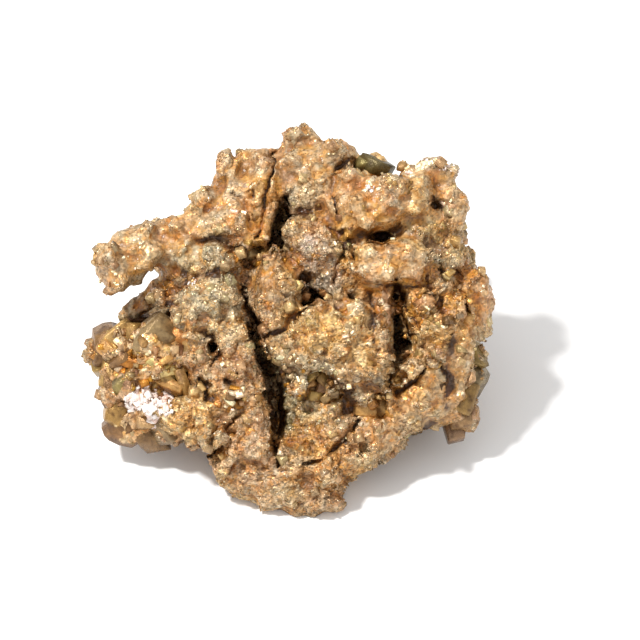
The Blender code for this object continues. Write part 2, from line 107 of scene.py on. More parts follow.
def new_piece(name, points, faces, attributes=None):
    """An object from points in mm and rows of three point numbers, with named values per point."""
    mesh = bpy.data.meshes.new(name)
    mesh.vertices.add(len(points))
    mesh.vertices.foreach_set("co", (np.asarray(points) * MM).astype(np.float32).ravel())
    mesh.loops.add(faces.size)
    mesh.loops.foreach_set("vertex_index", faces.astype(np.int32).ravel())
    mesh.polygons.add(len(faces))
    mesh.polygons.foreach_set("loop_start", np.arange(0, faces.size, 3, dtype=np.int32))
    mesh.update(calc_edges=True)
    for label, values in (attributes or {}).items():
        values = np.asarray(values, np.float32)
        if values.ndim == 2:
            values = np.column_stack([values, np.ones(len(values))])
            layer = mesh.attributes.new(label, "FLOAT_COLOR", "POINT")
            layer.data.foreach_set("color", values.astype(np.float32).ravel())
        else:
            mesh.attributes.new(label, "FLOAT", "POINT").data.foreach_set("value", values)
    piece = in_scene(name, mesh)
    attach(piece, "root")
    print(name, len(points), "points", len(faces), "triangles")
    return piece


def smoothstep(low, high, values):
    """0 below low, 1 above high, and 3t^2 - 2t^3 between, for t running from 0 to 1."""
    share = np.clip((values - low) / (high - low), 0, 1)
    return share * share * (3 - 2 * share)


print("points in the solid model:", len(mesh_points(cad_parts[NODE].data)))

# %% [markdown]
# ## Random numbers that belong to a place
#
# Mineral relief is a mosaic: one grain ends where the next begins. To imitate it, space is cut into
# cubes, and each cube gets its own fixed random numbers, worked out from its position by a hash. A
# seed is placed in every cube, and each point of the surface asks which seed is nearest and how far
# it is. Nothing is stored, and the answer is the same on every run.


# %% Hashed cells
def hashed(cells, salt):
    """A number from 0 to 1 for each cell: its three whole numbers mixed by shifts and products."""
    a, b, c = (cells[:, axis].astype(np.int64).astype(np.uint64) for axis in range(3))
    mixed = a * np.uint64(0x9E3779B185EBCA87) ^ b * np.uint64(0xC2B2AE3D27D4EB4F)
    mixed ^= c * np.uint64(0x165667B19E3779F9) + np.uint64(salt) * np.uint64(0xD6E8FEB86659FD93)
    mixed ^= mixed >> np.uint64(29)
    mixed *= np.uint64(0xBF58476D1CE4E5B9)
    mixed ^= mixed >> np.uint64(32)
    return (mixed >> np.uint64(11)).astype(float) / 2.0**53


def mosaic(points, size, salt):
    """Nearest seed of a mosaic with cells of that size in mm.

    Every cube of space holds one seed at a random place. For each point the distances to the seeds
    of its own and the 26 neighbouring cubes are compared. The result is the distance to the nearest
    seed and to the next one, the nearest seed's place and its cube.
    """
    scaled = points / size
    home = np.floor(scaled)
    nearest = np.full(len(points), 9.0)
    second = np.full(len(points), 9.0)
    seed_place = np.zeros_like(points)
    seed_cell = np.zeros_like(points)
    offsets = [(i, j, k) for i in (-1, 0, 1) for j in (-1, 0, 1) for k in (-1, 0, 1)]
    for offset in offsets:
        cell = home + offset
        place = cell + np.stack([hashed(cell, salt + axis) for axis in range(3)], axis=1)
        gap = np.linalg.norm(scaled - place, axis=1)
        closer = gap < nearest
        second = np.where(closer, nearest, np.minimum(second, gap))
        nearest = np.where(closer, gap, nearest)
        seed_place[closer] = place[closer]
        seed_cell[closer] = cell[closer]
    return nearest * size, second * size, seed_place * size, seed_cell


def soft_noise(points, size, salt):
    """Smooth noise from -1 to 1: hashed values at the corners of cubes, blended by smoothstep."""
    scaled = points / size
    home = np.floor(scaled)
    share = scaled - home
    share = share * share * (3 - 2 * share)
    total = np.zeros(len(points))
    for corner in ((i, j, k) for i in (0, 1) for j in (0, 1) for k in (0, 1)):
        weight = np.prod(np.where(corner, share, 1 - share), axis=1)
        total += weight * hashed(home + corner, salt)
    return 2 * total - 1


print("noise at the origin:", soft_noise(np.zeros((1, 3)), 3.0, 1))

# %% [markdown]
# ## Crystals with flat faces
#
# A crystal is a convex solid bounded by flat faces. Pyrite's commonest faces are the six of the cube
# and the twelve of the pyritohedron, and real crystals show some of both, each grown out to its own
# distance. So a crystal here is the space behind a set of planes: its corners are the points where
# three planes meet and that lie behind all the others, and each face joins the corners on its plane.

# %% Solids from planes
CUBE_FACES = [(-1, 0, 0), (1, 0, 0), (0, -1, 0), (0, 1, 0), (0, 0, -1), (0, 0, 1)]
PYRITOHEDRON_FACES = [
    face
    for a in (-1, 1)
    for b in (-1, 1)
    for face in ((0, a, 2 * b), (a, 2 * b, 0), (2 * b, 0, a))
]


def solid_behind(planes, reach):
    """Corners and triangles of the convex solid behind planes at the given distances.

    Every three planes are solved for the point where they meet. Points in front of any plane are
    dropped, and equal ones are kept once. On each plane the corners are sorted by angle round their
    middle and joined as a fan.
    """
    planes = np.asarray(planes, float)
    planes /= np.linalg.norm(planes, axis=1)[:, None]
    reach = np.asarray(reach, float)
    count = len(planes)
    triples = np.array([(i, j, k) for i in range(count) for j in range(i) for k in range(j)])
    matrices = planes[triples]
    usable = np.abs(np.linalg.det(matrices)) > 0.05
    corners = np.linalg.solve(matrices[usable], reach[triples[usable]][..., None])[..., 0]
    inside = (corners @ planes.T <= reach + 1e-6).all(axis=1)
    corners = np.unique(np.round(corners[inside], 5), axis=0)
    faces = []
    for plane, distance in zip(planes, reach):
        on_plane = np.flatnonzero(np.abs(corners @ plane - distance) < 1e-4)
        if len(on_plane) < 3:
            continue
        middle = corners[on_plane].mean(axis=0)
        right = corners[on_plane[0]] - middle
        ahead = np.cross(plane, right)
        rays = corners[on_plane] - middle
        order = on_plane[np.argsort(np.arctan2(rays @ ahead, rays @ right))]
        faces += [(order[0], order[n], order[n + 1]) for n in range(1, len(order) - 1)]
    return corners, np.array(faces)


def random_turns(rng, count):
    """Turning matrices spread evenly over all turns, from random unit quaternions."""
    w, x, y, z = (lambda q: q / np.linalg.norm(q, axis=0))(rng.normal(size=(4, count)))
    rows = [
        [1 - 2 * (y * y + z * z), 2 * (x * y - z * w), 2 * (x * z + y * w)],
        [2 * (x * y + z * w), 1 - 2 * (x * x + z * z), 2 * (y * z - x * w)],
        [2 * (x * z - y * w), 2 * (y * z + x * w), 1 - 2 * (x * x + y * y)],
    ]
    return np.array(rows).transpose(2, 0, 1)


CUBE_REACH = 0.72  # from the middle to a face, so that the corners lie about 1 from the middle


def grown_crystal(rng, blockiness):
    """A crystal about 1 in radius: cube faces, and pyritohedron faces that cut its edges.

    The second kind lies further out on a blocky crystal and so cuts less of it away.
    """
    cube_reach = CUBE_REACH * rng.uniform(0.85, 1.15, 6)
    roof_reach = CUBE_REACH * rng.uniform(0.95, 1.12, 12) * (1.0 + 0.35 * blockiness)
    return solid_behind(CUBE_FACES + PYRITOHEDRON_FACES, np.concatenate([cube_reach, roof_reach]))


class Heap:
    """Shapes gathered for one piece, with their values per point."""

    def __init__(self):
        self.points, self.faces, self.values, self.count = [], [], {}, 0

    def add(self, points, faces, **values):
        """One more shape. A value is a row for the whole shape, or a row for each of its points."""
        self.points.append(points)
        self.faces.append(faces + self.count)
        for label, value in values.items():
            rows = np.broadcast_to(value, (len(points), 3))
            self.values.setdefault(label, []).append(rows)
        self.count += len(points)

    def piece(self, name):
        """All the shapes together as one piece."""
        values = {label: np.concatenate(parts) for label, parts in self.values.items()}
        return new_piece(name, np.concatenate(self.points), np.concatenate(self.faces), values)


test_points, test_faces = grown_crystal(np.random.default_rng(1), 0.5)
print("one crystal:", len(test_points), "corners", len(test_faces), "triangles")

# %% [markdown]
# ## Knobs and boulders
#
# Each rod is built of knobs two to five millimetres in radius, and on this cluster they have their
# places: along the finger at the left, over the crown, along the overhang at the right. They are
# grown as crystals with many small faces and half sunk into the rods. The skin that is wrapped
# round everything in the next step joins them to the rock.

# %% Places of the knobs
KNOBS = (  # (across, up, radius) in mm on the display side
    (-36, 12, 3.8), (-34.5, 8, 3.2), (-31, 15, 3.4), (-28.5, 17.6, 2.6), (-29, 11.6, 2.8),
    (-22.5, 18.5, 2.6), (-19, 20.5, 2.6), (-21.5, 13, 3.2), (-14.6, 13, 3.6), (-17.5, 4, 4.4),
    (-19.6, 0.6, 3), (-12.5, 30, 3), (-9, 32.5, 2.8), (-5.5, 31.5, 2.3), (-17, 24, 3.2),
    (-13, 20.4, 2.6), (-9.6, 20, 2.6), (-6.2, 26.8, 2.2), (1, 37.4, 2.4), (4.2, 36.4, 2.2), (1, 32, 3),
    (8, 34.2, 2.8), (10.8, 32.4, 2), (3.6, 27.6, 2.4), (12, 28, 3.4), (16.2, 27, 2.8), (21, 27, 3),
    (25.8, 25.6, 2.4), (13, 23, 3.4), (19, 23, 2.8), (15.6, 19.8, 2.4), (28.5, 31, 2.2),
    (32, 29.6, 2.4), (33.2, 24.4, 2.6), (24.6, 22.4, 2), (16, 13.5, 2.8), (14.4, 10.2, 2.4),
    (20, 13, 3), (23.4, 13.4, 2.4), (26.4, 12.4, 2.2), (20, 9.4, 2.4), (25, 9.2, 2.2), (29.6, 12, 2.4),
    (37.2, 8, 3.2), (39, 5.4, 2), (34, 2, 2.8), (26.4, 3, 2.8), (32, -3, 2.8), (28.4, -6.8, 2.8),
    (25, -9.4, 2.8), (21, -17.4, 3.4), (17.4, -21.6, 2.8), (25.6, -16.6, 2.4), (13, -24.4, 2.8),
    (4.5, 0.5, 3), (9, 1, 2), (13, 1, 3.2), (16, -3.6, 2.6), (5, -4.6, 2.6), (15.4, -10, 3),
    (9.4, 7.2, 1.8), (9.8, 4.4, 2.2), (18.9, 4.6, 2), (19.1, 1, 2.1), (19, -2.6, 2.1),
    (18.8, -6.4, 2.2), (-4, 12, 2.8), (-1, 8, 3.2), (0.2, 2.6, 2.4), (-4, 1, 2.2), (-5, 6, 2.8),
    (-20, -20, 4), (-15.4, -23, 3), (-11, -27, 3.6), (-8, -31, 3.4), (0, -32.4, 3.4), (7.6, -30, 3.4),
    (4, -36, 2.8), (-2, -27.6, 2.2), (-13.6, -9.6, 2.2), (-9.8, -10.6, 2), (-12.6, -15, 2.2),
    (5.6, 13, 3), (6.6, 17, 2.4), (-31, 1.4, 2), (-28.6, 3.2, 2.2), (-26.2, 4.6, 2.2), (-24, 6.8, 2.2),
    (5, -13.2, 2.6), (8.6, -13.6, 2.2), (1.6, -13, 2.2), (15.6, -15.8, 2.4), (19.4, -14.6, 2.4),
    (23, -13.2, 2.2), (5.6, 2.9, 1.5), (8.2, 3.6, 1.3), (1.6, 6.6, 1.6), (8, 7.8, 1.6),
    (-15, -0.8, 2.8), (-19.4, -1.6, 2.4),
)
KNOB_SUNK = 0.44  # how far a knob's middle lies below the rods, in radii
LOCAL = 1.8  # mm round a knob within which the rods' height is looked up


def knob_solids():
    """Points and triangles of all the knobs together, each turned and flattened at random."""
    rng = np.random.default_rng(41)
    places = to_display(mesh_points(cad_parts[NODE].data) / MM)
    heap = Heap()
    for (across, up, radius), turn in zip(KNOBS, random_turns(rng, len(KNOBS))):
        near = np.linalg.norm(places[:, :2] - [across, up], axis=1) < LOCAL
        height = places[near, 2].max() if near.any() else 0.0
        shape, faces = grown_crystal(rng, rng.uniform(0.0, 0.6))
        own = (shape * rng.uniform(0.85, 1.2, 3)) @ turn.T * radius
        heap.add(from_display([across, up, height - KNOB_SUNK * radius]) + own, faces)
    return np.concatenate(heap.points), np.concatenate(heap.faces)


knob_points, knob_faces = knob_solids()
print(len(KNOBS), "knobs,", len(knob_faces), "triangles")

# %% [markdown]
# ## A dense skin over the solid
#
# The solid has about ten thousand facets, too few for relief under two millimetres. A voxel remesh
# wraps a copy of it and the knobs in one even skin of small faces, which the next cells can push in
# and out. The voxel is as fine as the skin's share of triangles allows.

# %% Dense skin
SKIN_VOXEL = 0.47  # mm
WELD_GAP = 0.02  # mm within which the node's loose triangles are joined


def dense_skin():
    """Points, in mm, and triangles of one voxel skin over the node and the knobs."""
    model = bmesh.new()
    model.from_mesh(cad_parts[NODE].data)
    mesh = bpy.data.meshes.new("skin_source")
    mesh.from_pydata((knob_points * MM).tolist(), [], knob_faces.tolist())
    model.from_mesh(mesh)
    model.to_mesh(mesh)
    model.free()
    copy = in_scene("skin_source", mesh)
    weld = copy.modifiers.new("weld", "WELD")
    weld.merge_threshold = WELD_GAP * MM
    remesh = copy.modifiers.new("remesh", "REMESH")
    remesh.mode = "VOXEL"
    remesh.voxel_size = SKIN_VOXEL * MM
    smooth = copy.modifiers.new("smooth", "SMOOTH")
    smooth.factor = 0.5
    smooth.iterations = 1
    graph = bpy.context.evaluated_depsgraph_get()
    result = bpy.data.meshes.new_from_object(copy.evaluated_get(graph))
    result.calc_loop_triangles()
    points = mesh_points(result).astype(float) / MM
    faces = np.empty(len(result.loop_triangles) * 3, np.int32)
    result.loop_triangles.foreach_get("vertices", faces)
    bpy.data.objects.remove(copy)
    bpy.data.meshes.remove(mesh)
    bpy.data.meshes.remove(result)
    return points, faces.reshape(-1, 3)


def normals_of(points, faces):
    """Direction out at each point: the sum of its triangles' cross products, made length 1."""
    a, b, c = (points[faces[:, corner]] for corner in range(3))
    cross = np.cross(b - a, c - a)
    total = np.zeros_like(points)
    for corner in range(3):
        for axis in range(3):
            total[:, axis] += np.bincount(faces[:, corner], cross[:, axis], len(points))
    return total / np.maximum(np.linalg.norm(total, axis=1), 1e-12)[:, None]


skin_points, skin_faces = dense_skin()
print("skin:", len(skin_points), "points", len(skin_faces), "triangles")

# %% [markdown]
# ## What each stretch of the cluster is like
#
# The rods don't all look alike. Some are knobbly, some are coated in a flaky crust, and the two
# flanks carry smooth-faced crystals. Soft balls say where each kind is: full strength in the middle
# of a ball, nothing at its rim. Tints are laid on later with balls of their own.

# %% Soft balls
# Each is (across, up, out, radius) in mm on the display side.
SMOOTH_STRETCHES = [
    (19.0, 5, 4, 4.0), (19.0, 0, 4, 4.0), (19.2, -5, 4, 4.0), (19.2, -9, 3, 3.6),  # the smooth column
    (30, -11, 1, 8.0), (26, -16, 0, 6.5), (18, -22, 0, 5.0), (34, -4, 0, 5.0),  # right flank
    (-27.6, -4.4, 1, 6.0), (-31.6, -12.2, -1, 5.5),  # left boulders
    (33.2, 22.6, 1, 4.6), (31.0, -17.0, -3.0, 7.0), (-32.0, -21.0, -3, 7.5), (-26.0, -3.0, 1, 6.0),
    (17.0, 31.0, -3, 4.0),
]
FLAKY_STRETCHES = [
    (-20.6, -19.2, 1, 7.5), (-14.6, -24.5, 1, 6.0), (-9, -30, 0, 8.0), (2, -33, 0, 9.0),
    (10, -29, 0, 6.0), (26, -14, 1, 5.0), (16, -9, 6, 7.0),
]
KNOBBLY_STRETCHES = [
    (-32, 12, 1, 9.0), (-22, 16, 0, 8.0), (-13, 24, -2, 9.0), (-6, 29, -2, 8.0), (-6, 18, 1, 6.0),
    (4, 31, -3, 9.0), (12, 33, -4, 5.0), (14, 23, 3, 9.0), (24, 25, 2, 8.0), (31, 27, -1, 6.0),
    (20, 11, 5, 9.0), (-28, 5, -6, 8.0), (6, 1, 6, 6.0), (13, 1.5, 6, 5.0), (37, 4, -3, 7.0),
    (-3, 8, 4, 6.0),
]


def within(display_points, balls):
    """Strength from 0 to 1: smoothstep of the greatest 1 - (distance / radius)^2 of all the balls."""
    strength = np.zeros(len(display_points))
    for across, up, out, radius in balls:
        gap = display_points - np.array([across, up, out])
        share = np.einsum("ij,ij->i", gap, gap) / radius**2
        strength = np.maximum(strength, 1 - share)
    return smoothstep(0.0, 0.45, strength)


skin_places = to_display(skin_points)
for balls in (SMOOTH_STRETCHES, FLAKY_STRETCHES, KNOBBLY_STRETCHES):
    print(len(balls), "balls reach", round(100 * within(skin_places, balls).mean()), "% of the skin")

# %% [markdown]
# ## Lumps, facets, flakes, joints and beads
#
# Five kinds of relief cover the skin. *Lumps* are domes: each mosaic cell rises in the middle and
# sinks at its border, as rounded aggregates do, and *grains* are small ones. *Facets* tilt each cell
# as a flat plate, so that neighbours meet at small ledges, as blocky crystals do. *Flakes* are thin
# steps across a wavering tilted direction. *Joints* are fine open cracks along the borders of cells,
# and *beads* are round grains that stand up by themselves. Every point moves along its own direction
# out, and each stretch of the cluster has its own mix.

# %% Relief
LUMPS = ((2.6, 0.20),)  # cell size and height, mm
FACETS = ((6.0, 0.34), (2.6, 0.33), (1.4, 0.36))  # cell size, mm, and steepest tilt
FLAKE_STEP, FLAKE_HEIGHT = 1.5, 0.70  # mm from one flake to the next, and its thickness
FLAKE_ACROSS = np.array([0.25, 0.45, 0.86])  # model axes: the way along which the flakes are stacked
GRAIN_SIZE, GRAIN_HEIGHT = 1.0, 0.12  # mm
BEAD_SIZE, BEAD_RADIUS, BEAD_HEIGHT = 2.5, 0.75, 0.30  # mm
JOINTS = ((8.0, 0.30, 0.40), (3.6, 0.10, 0.40))  # cell size, depth and half width, mm
SKIN_SUNK = 0.40  # mm that all relief starts below the solid's own face
DEEPEST = -1.0  # mm, about where random relief stops going in


def lump_relief(points, size, height, salt):
    """Domes: height times 1 - (distance / dome radius)^2, less in some cells than in others."""
    nearest, _, _, cell = mosaic(points, size, salt)
    vigour = 0.35 + 0.65 * hashed(cell, salt + 7)
    return height * vigour * (1 - np.clip(nearest / (0.75 * size), 0, 1) ** 2)


def facet_relief(points, size, tilt, salt):
    """Flat plates: each cell's own random slope times the way from its seed."""
    _, _, place, cell = mosaic(points, size, salt)
    slope = np.stack([hashed(cell, salt + 11 + axis) for axis in range(3)], axis=1) * 2 - 1
    return tilt * np.einsum("ij,ij->i", points - place, slope)


def joint_relief(points, size, depth, half_width, salt):
    """Open joints: a groove along the borders of mosaic cells, where noise lets it open.

    The distance to a border is about half of the difference between the two nearest seeds. The
    points are first shaken by soft noise, so that the borders waver.
    """
    shake = np.stack([soft_noise(points, 2.5, salt + 20 + axis) for axis in range(3)], axis=1)
    nearest, second, _, _ = mosaic(points + 0.6 * shake, size, salt)
    border = (second - nearest) / 2
    opened = smoothstep(-0.15, 0.35, soft_noise(points, 5.0, salt + 30))
    return -depth * opened * (1 - smoothstep(0.0, half_width, border))


def flake_relief(points, salt):
    """Steps: height falls evenly from one whole step to the next along a wavering tilted direction."""
    along = points @ FLAKE_ACROSS + 1.2 * soft_noise(points, 6.0, salt)
    steps = along / FLAKE_STEP
    part = steps - np.floor(steps)
    return FLAKE_HEIGHT * (0.5 - part) * (0.6 + 0.4 * soft_noise(points, 2.4, salt + 1))


def bead_share(points):
    """Round beads, one in about half of the mosaic cells: 1 at the seed, 0 at the bead's rim."""
    nearest, _, _, cell = mosaic(points, BEAD_SIZE, 95)
    radius = BEAD_RADIUS * (0.7 + 0.6 * hashed(cell, 97))
    there = hashed(cell, 96) < 0.55
    return there * np.clip(1 - (nearest / radius) ** 2, 0, 1)


def skin_relief(points, places):
    """Height to add at each point in mm: the kinds of relief, each weighted by the stretches.

    The sum is lowered as a whole, and near DEEPEST it goes on inwards at only 0.3 of the rate.
    """
    smooth = within(places, SMOOTH_STRETCHES)
    flaky = within(places, FLAKY_STRETCHES)
    knobbly = within(places, KNOBBLY_STRETCHES)
    lumps = sum(lump_relief(points, size, high, 20 + n) for n, (size, high) in enumerate(LUMPS))
    plates = sum(facet_relief(points, size, tilt, 50 + n) for n, (size, tilt) in enumerate(FACETS))
    joints = sum(joint_relief(points, *sizes, 100 + 40 * n) for n, sizes in enumerate(JOINTS))
    grains = lump_relief(points, GRAIN_SIZE, GRAIN_HEIGHT, 80)
    height = lumps * (0.45 + 0.75 * knobbly) * (1 - 0.8 * smooth) * (1 - 0.7 * flaky)
    height += plates * (0.9 - 0.65 * knobbly) * (1 - 0.4 * smooth)
    height += flake_relief(points, 90) * (0.15 + 0.85 * flaky) * (1 - 0.7 * smooth)
    height += grains * (1 - 0.9 * smooth) * (1 - 0.7 * knobbly) * (1 - 0.6 * flaky)
    height += joints * (1 - 0.6 * smooth) * (1 - 0.7 * flaky)
    height += BEAD_HEIGHT * np.sqrt(bead_share(points)) * (0.3 + 0.5 * knobbly)
    return np.maximum(height - SKIN_SUNK, DEEPEST + 0.3 * height)


raw_height = skin_relief(skin_points, skin_places)
print("relief before the gaps are kept open, mm:", np.percentile(raw_height, [1, 50, 99]).round(2))

# %% [markdown]
# ## Keeping the gaps open
#
# Relief that grows out of both walls of a narrow gap would close it. A ray is sent out from every
# point of the skin. Where it soon meets the opposite wall there is little room, and the relief there
# is held back in proportion.

# %% Room in front of each point
FAR = 12.0  # mm, beyond which there is room enough
START_OFF = 0.4  # mm off the skin where a ray starts, so that it doesn't meet its own face


def room_before(points, faces, normals):
    """Distance in mm from each point to the next wall that its outward ray meets, FAR at most."""
    tree = BVHTree.FromPolygons(points.tolist(), faces.tolist())
    starts = (points + START_OFF * normals).tolist()
    hits = [tree.ray_cast(start, ray, FAR)[3] for start, ray in zip(starts, normals.tolist())]
    return np.array([FAR if hit is None else hit for hit in hits])


base_normals = normals_of(skin_points, skin_faces)
room = room_before(skin_points, skin_faces, base_normals)
openness = 0.35 + 0.65 * smoothstep(0.6, 4.5, room)
print("points with little room:", int((openness < 0.5).sum()))

# %% [markdown]
# ## Clefts and pits
#
# Random relief gives the character of the surface, but the clefts between the rods and the pits
# where a crystal fell out are features of this one cluster. Each is a line across the display side
# with a half width at every point. Soft noise makes it waver. What lies on the line is pushed
# straight back into the rock, and relief fades there, so that the lips stay crisp.

# %% Clefts and pits
# (depth, side that falls back: 1 left, -1 right or 0, [(across, up, half width), ...]) in mm
CLEFTS = (
    (4, 0, [(-1, 24.6, 0.3), (-1.2, 22, 0.8), (-2, 18.4, 0.8), (-2.6, 14.4, 1), (-3.2, 13.2, 0.6)]),
    (4, 0, [(-8.8, 11.6, 0.8), (-7, 13, 0.8)]),
    (3.5, 0, [(2.4, 8.6, 0.6), (3.6, 5.6, 1), (4.9, 3.8, 1), (7.4, 4.6, 0.6)]),
    (5, 0, [
        (-9.5, 6.8, 0.2), (-8.5, 3.6, 0.3), (-7.4, -0.8, 0.6), (-6.3, -4, 0.9), (-4.7, -8, 1.1),
        (-3.5, -11.4, 1.2), (-2.9, -14, 1.1), (-2.7, -18, 0.8), (-2.6, -22, 0.6), (-2.4, -25.4, 0.4),
        (-2.3, -28.8, 0.2),
    ]),
    (4.5, 0, [
        (20.8, 7.2, 0.3), (21.4, 4.8, 1), (21.4, 2.6, 0.6), (21.8, 0, 0.9), (22, -3, 1.2),
        (21.6, -7, 1), (21, -10, 0.7), (20.6, -13.6, 0.3),
    ]),
    (2, 0, [(16.4, 16.2, 0.7), (20, 16.6, 0.6)]), (1.5, 0, [(-24.2, 3.2, 0.7), (-23.6, 1, 0.9)]),
    (1.5, 0, [(-31.8, -1.4, 0.6), (-29.4, 0.6, 0.7)]), (1.6, 0, [(-8.4, 25.4, 0.8), (-8.2, 24.6, 0.7)]),
    (1.6, 0, [(28.2, 23.4, 0.7), (29.4, 22.6, 0.9)]), (1.6, 0, [(33.8, 9.8, 0.6), (34.2, 8.8, 0.6)]),
    (1.4, 0, [(28.8, 3.6, 0.6), (30, 3.4, 0.6)]),
    (2.5, 0, [(-17, -3.4, 0.3), (-15, -4.2, 0.45), (-14.8, -6.8, 0.25), (-15.6, -9, 0.1)]),
    (2.5, 0, [(-5.4, -3.8, 0.3), (-2.8, -2.6, 0.4), (-0.8, -1.6, 0.4), (1.4, 1, 0.4), (3.2, 2.6, 0.3)]),
    (2.2, 0, [(-11.5, 25.2, 0.3), (-9.2, 22.6, 0.3), (-8.8, 20, 0.2)]),
    (2.2, 0, [(11.4, 16.8, 0.2), (12.4, 13, 0.3), (13.6, 10.4, 0.2)]),
    (1.2, 0, [(15.4, 7, 0.2), (20.4, 7.2, 0.3), (24, 6.6, 0.2), (29, 7.4, 0.1)]),
    (2.4, 0, [(-9.5, -18, 0.2), (-14, -22, 0.35), (-16, -27, 0.3)]),
    (2.4, 0, [(29.5, 11.5, 0.2), (30.5, 8.5, 0.3), (34, 6, 0.3), (36.6, 1, 0.2)]),
    (2.2, 0, [(24.6, -4.6, 0.2), (30, -8, 0.3), (32, -13, 0.2)]),
    (2.2, 0, [(21.6, -14.6, 0.3), (25, -11.6, 0.3), (27.6, -9.4, 0.2)]),
    (2.2, 0, [(8.6, 7.4, 0.3), (9.4, 10.4, 0.25), (10.4, 14.8, 0.2)]),
    (2.2, 0, [(3, -28.4, 0.2), (9, -26, 0.3), (14, -20.6, 0.2)]),
    (3, 0, [(-18.4, -11.8, 0.3), (-17.6, -12.8, 0.6), (-16.6, -13.4, 0.6), (-16.6, -16, 0.2)]),
    (2, 0, [(-12.6, -12, 0.4), (-12.2, -12.5, 0.4)]),
    (1.7, 0, [(-13.6, -13.2, 0.3), (-11.4, -16.6, 0.3), (-9.8, -18.4, 0.4)]),
    (1.7, 0, [(-21.2, -12.8, 0.3), (-18, -12.2, 0.4)]), (1.7, 0, [(-19.4, -11, 0.3), (-18, -8.4, 0.3)]),
    (1.7, 0, [(-14, -21.4, 0.4), (-10.8, -23, 0.3)]), (1.7, 0, [(2.6, -24.2, 0.3), (4.8, -25.2, 0.4)]),
    (1.8, 0, [(10.4, -14.6, 0.5), (10.6, -17.6, 0.5), (14, -18, 0.5)]),
    (1.7, 0, [(18.2, -19.4, 0.4), (18, -21, 0.3)]),
    (1.4, 0, [(0, 20.6, 0.5), (2.6, 21.8, 0.5), (5.2, 22.4, 0.3)]),
    (2, 0, [(9.4, 30, 0.4), (12.4, 32, 0.4)]),
    (2, -1, [(-17, 16.8, 0.2), (-14.4, 16.2, 0.4), (-12, 15.4, 0.5)]),
    (2, 0, [(-12, 15, 0.3), (-9.6, 13.6, 0.4), (-9, 11.6, 0.4)]),
    (1.4, 0, [(20.4, 7, 0.4), (22.8, 6.6, 0.5)]),
    (1.9, -1, [(10, 17.8, 0.2), (12, 17, 0.3), (16, 17.2, 0.4), (22, 18.3, 0.3)]),
    (1, -1, [(-25, 10, 0.2), (-19, 9.2, 0.2), (-13, 10, 0.2)]),
    (1.5, -1, [(-19.5, 7.5, 0.2), (-23, 3, 0.3), (-22.6, 0.4, 0.2)]),
    (2, 0, [(-3, 33.5, 0.2), (-3.8, 29, 0.3), (-5.2, 22, 0.3), (-6.8, 15.6, 0.4)]),
    (1.5, 0, [(13.6, 32, 0.3), (9.4, 30.4, 0.3), (8.2, 25, 0.2), (8.6, 20, 0.2)]),
    (1.2, 0, [(11, 13.6, 0.2), (10.4, 10, 0.2), (14, 7.2, 0.1)]),
    (1.5, 1, [(32.4, -4, 0.2), (31.6, -10, 0.3), (31, -18, 0.3), (27, -22.4, 0.2)]),
    (1.7, -1, [(-4.4, -9, 0.3), (3, -10.4, 0.3), (10, -13, 0.4), (13.4, -17, 0.3), (20, -14.4, 0.3)]),
    (1.4, 0, [(22, 4, 0.2), (26, -2, 0.2), (27.6, -9, 0.2), (22, -15, 0.2)]),
    (1.4, 1, [(-24, -16.6, 0.2), (-21, -14, 0.2), (-16.4, -16, 0.2), (-15, -20, 0.2)]),
    (1.6, 0, [(15.8, 5.4, 0.3), (17.2, -1, 0.4), (18, -6, 0.3)]),
    (1.2, 0, [(18.9, -1, 0.3), (19.2, -1.4, 0.3)]), (1.2, 0, [(20, -3.2, 0.3), (20.2, -3.8, 0.3)]),
)
LIP = 0.24  # mm beside a cleft over which the push fades
FALL = 2.6  # mm over which it fades on the side that falls back
DEEP_FROM = 2.6  # mm: deeper clefts are whole, and shallower ones are broken up
SWAYS = ((3.6, 0.8), (1.4, 0.45))  # size of the noise that makes a cleft waver, and how far, mm
BACK = -9  # mm out on the display side, behind which no cleft reaches


def cleft_share(places, route, falling):
    """1 on a cleft and 0 past its lips: from the distance to the nearest stretch of its route.

    On each stretch the nearest spot is the foot of the perpendicular on it, and the half width
    there lies between those of its two ends. The sign of a cross product tells left from right, and
    on the side that falls back the lip is a long slope.
    """
    share = np.zeros(len(places))
    for (a0, u0, w0), (a1, u1, w1) in zip(route, route[1:]):
        start, step = np.array([a0, u0]), np.array([a1 - a0, u1 - u0])
        rest = places - start
        along = np.clip(rest @ step / (step @ step), 0, 1)
        gap = np.linalg.norm(rest - along[:, None] * step, axis=1)
        left = step[0] * rest[:, 1] - step[1] * rest[:, 0]
        lip = np.where(left * falling > 0, FALL, LIP)
        share = np.maximum(share, 1 - smoothstep(0.0, 1.0, (gap - (w0 + along * (w1 - w0))) / lip))
    return share


def carved(points, places, normals):
    """How far each point goes back into the rock, in mm, and its nearness to a cleft, 0 to 1."""
    wavering = places[:, :2].copy()
    for (size, sway), salt in zip(SWAYS, (300, 302)):
        wavering[:, 0] += sway * soft_noise(points, size, salt)
        wavering[:, 1] += sway * soft_noise(points, size, salt + 1)
    facing = smoothstep(-0.1, 0.4, normals @ OUT) * (places[:, 2] > BACK)
    broken = 0.55 + 0.75 * smoothstep(-0.35, 0.15, soft_noise(points, 3.0, 306))
    depth = np.zeros(len(points))
    near = np.zeros(len(points))
    for deep, falling, route in CLEFTS:
        share = cleft_share(wavering, route, falling) * facing
        if deep < DEEP_FROM:
            share = np.minimum(share * broken, 1.0)
        depth = np.maximum(depth, deep * share)
        near = np.maximum(near, share ** (3 if deep < DEEP_FROM else 2))
    return depth, near


cleft_depth, cleft_near = carved(skin_points, skin_places, base_normals)
print("points in clefts:", int((cleft_near > 0.5).sum()))

# %% Push the skin out
# Relief may take 0.15 of the room less 0.4 mm, and the walls of a narrow gap draw back by 0.2 mm.
base_height = np.minimum(raw_height, 0.15 * room - 0.4) * openness - 0.2 * (1 - openness)
base_height *= 1 - 0.75 * cleft_near
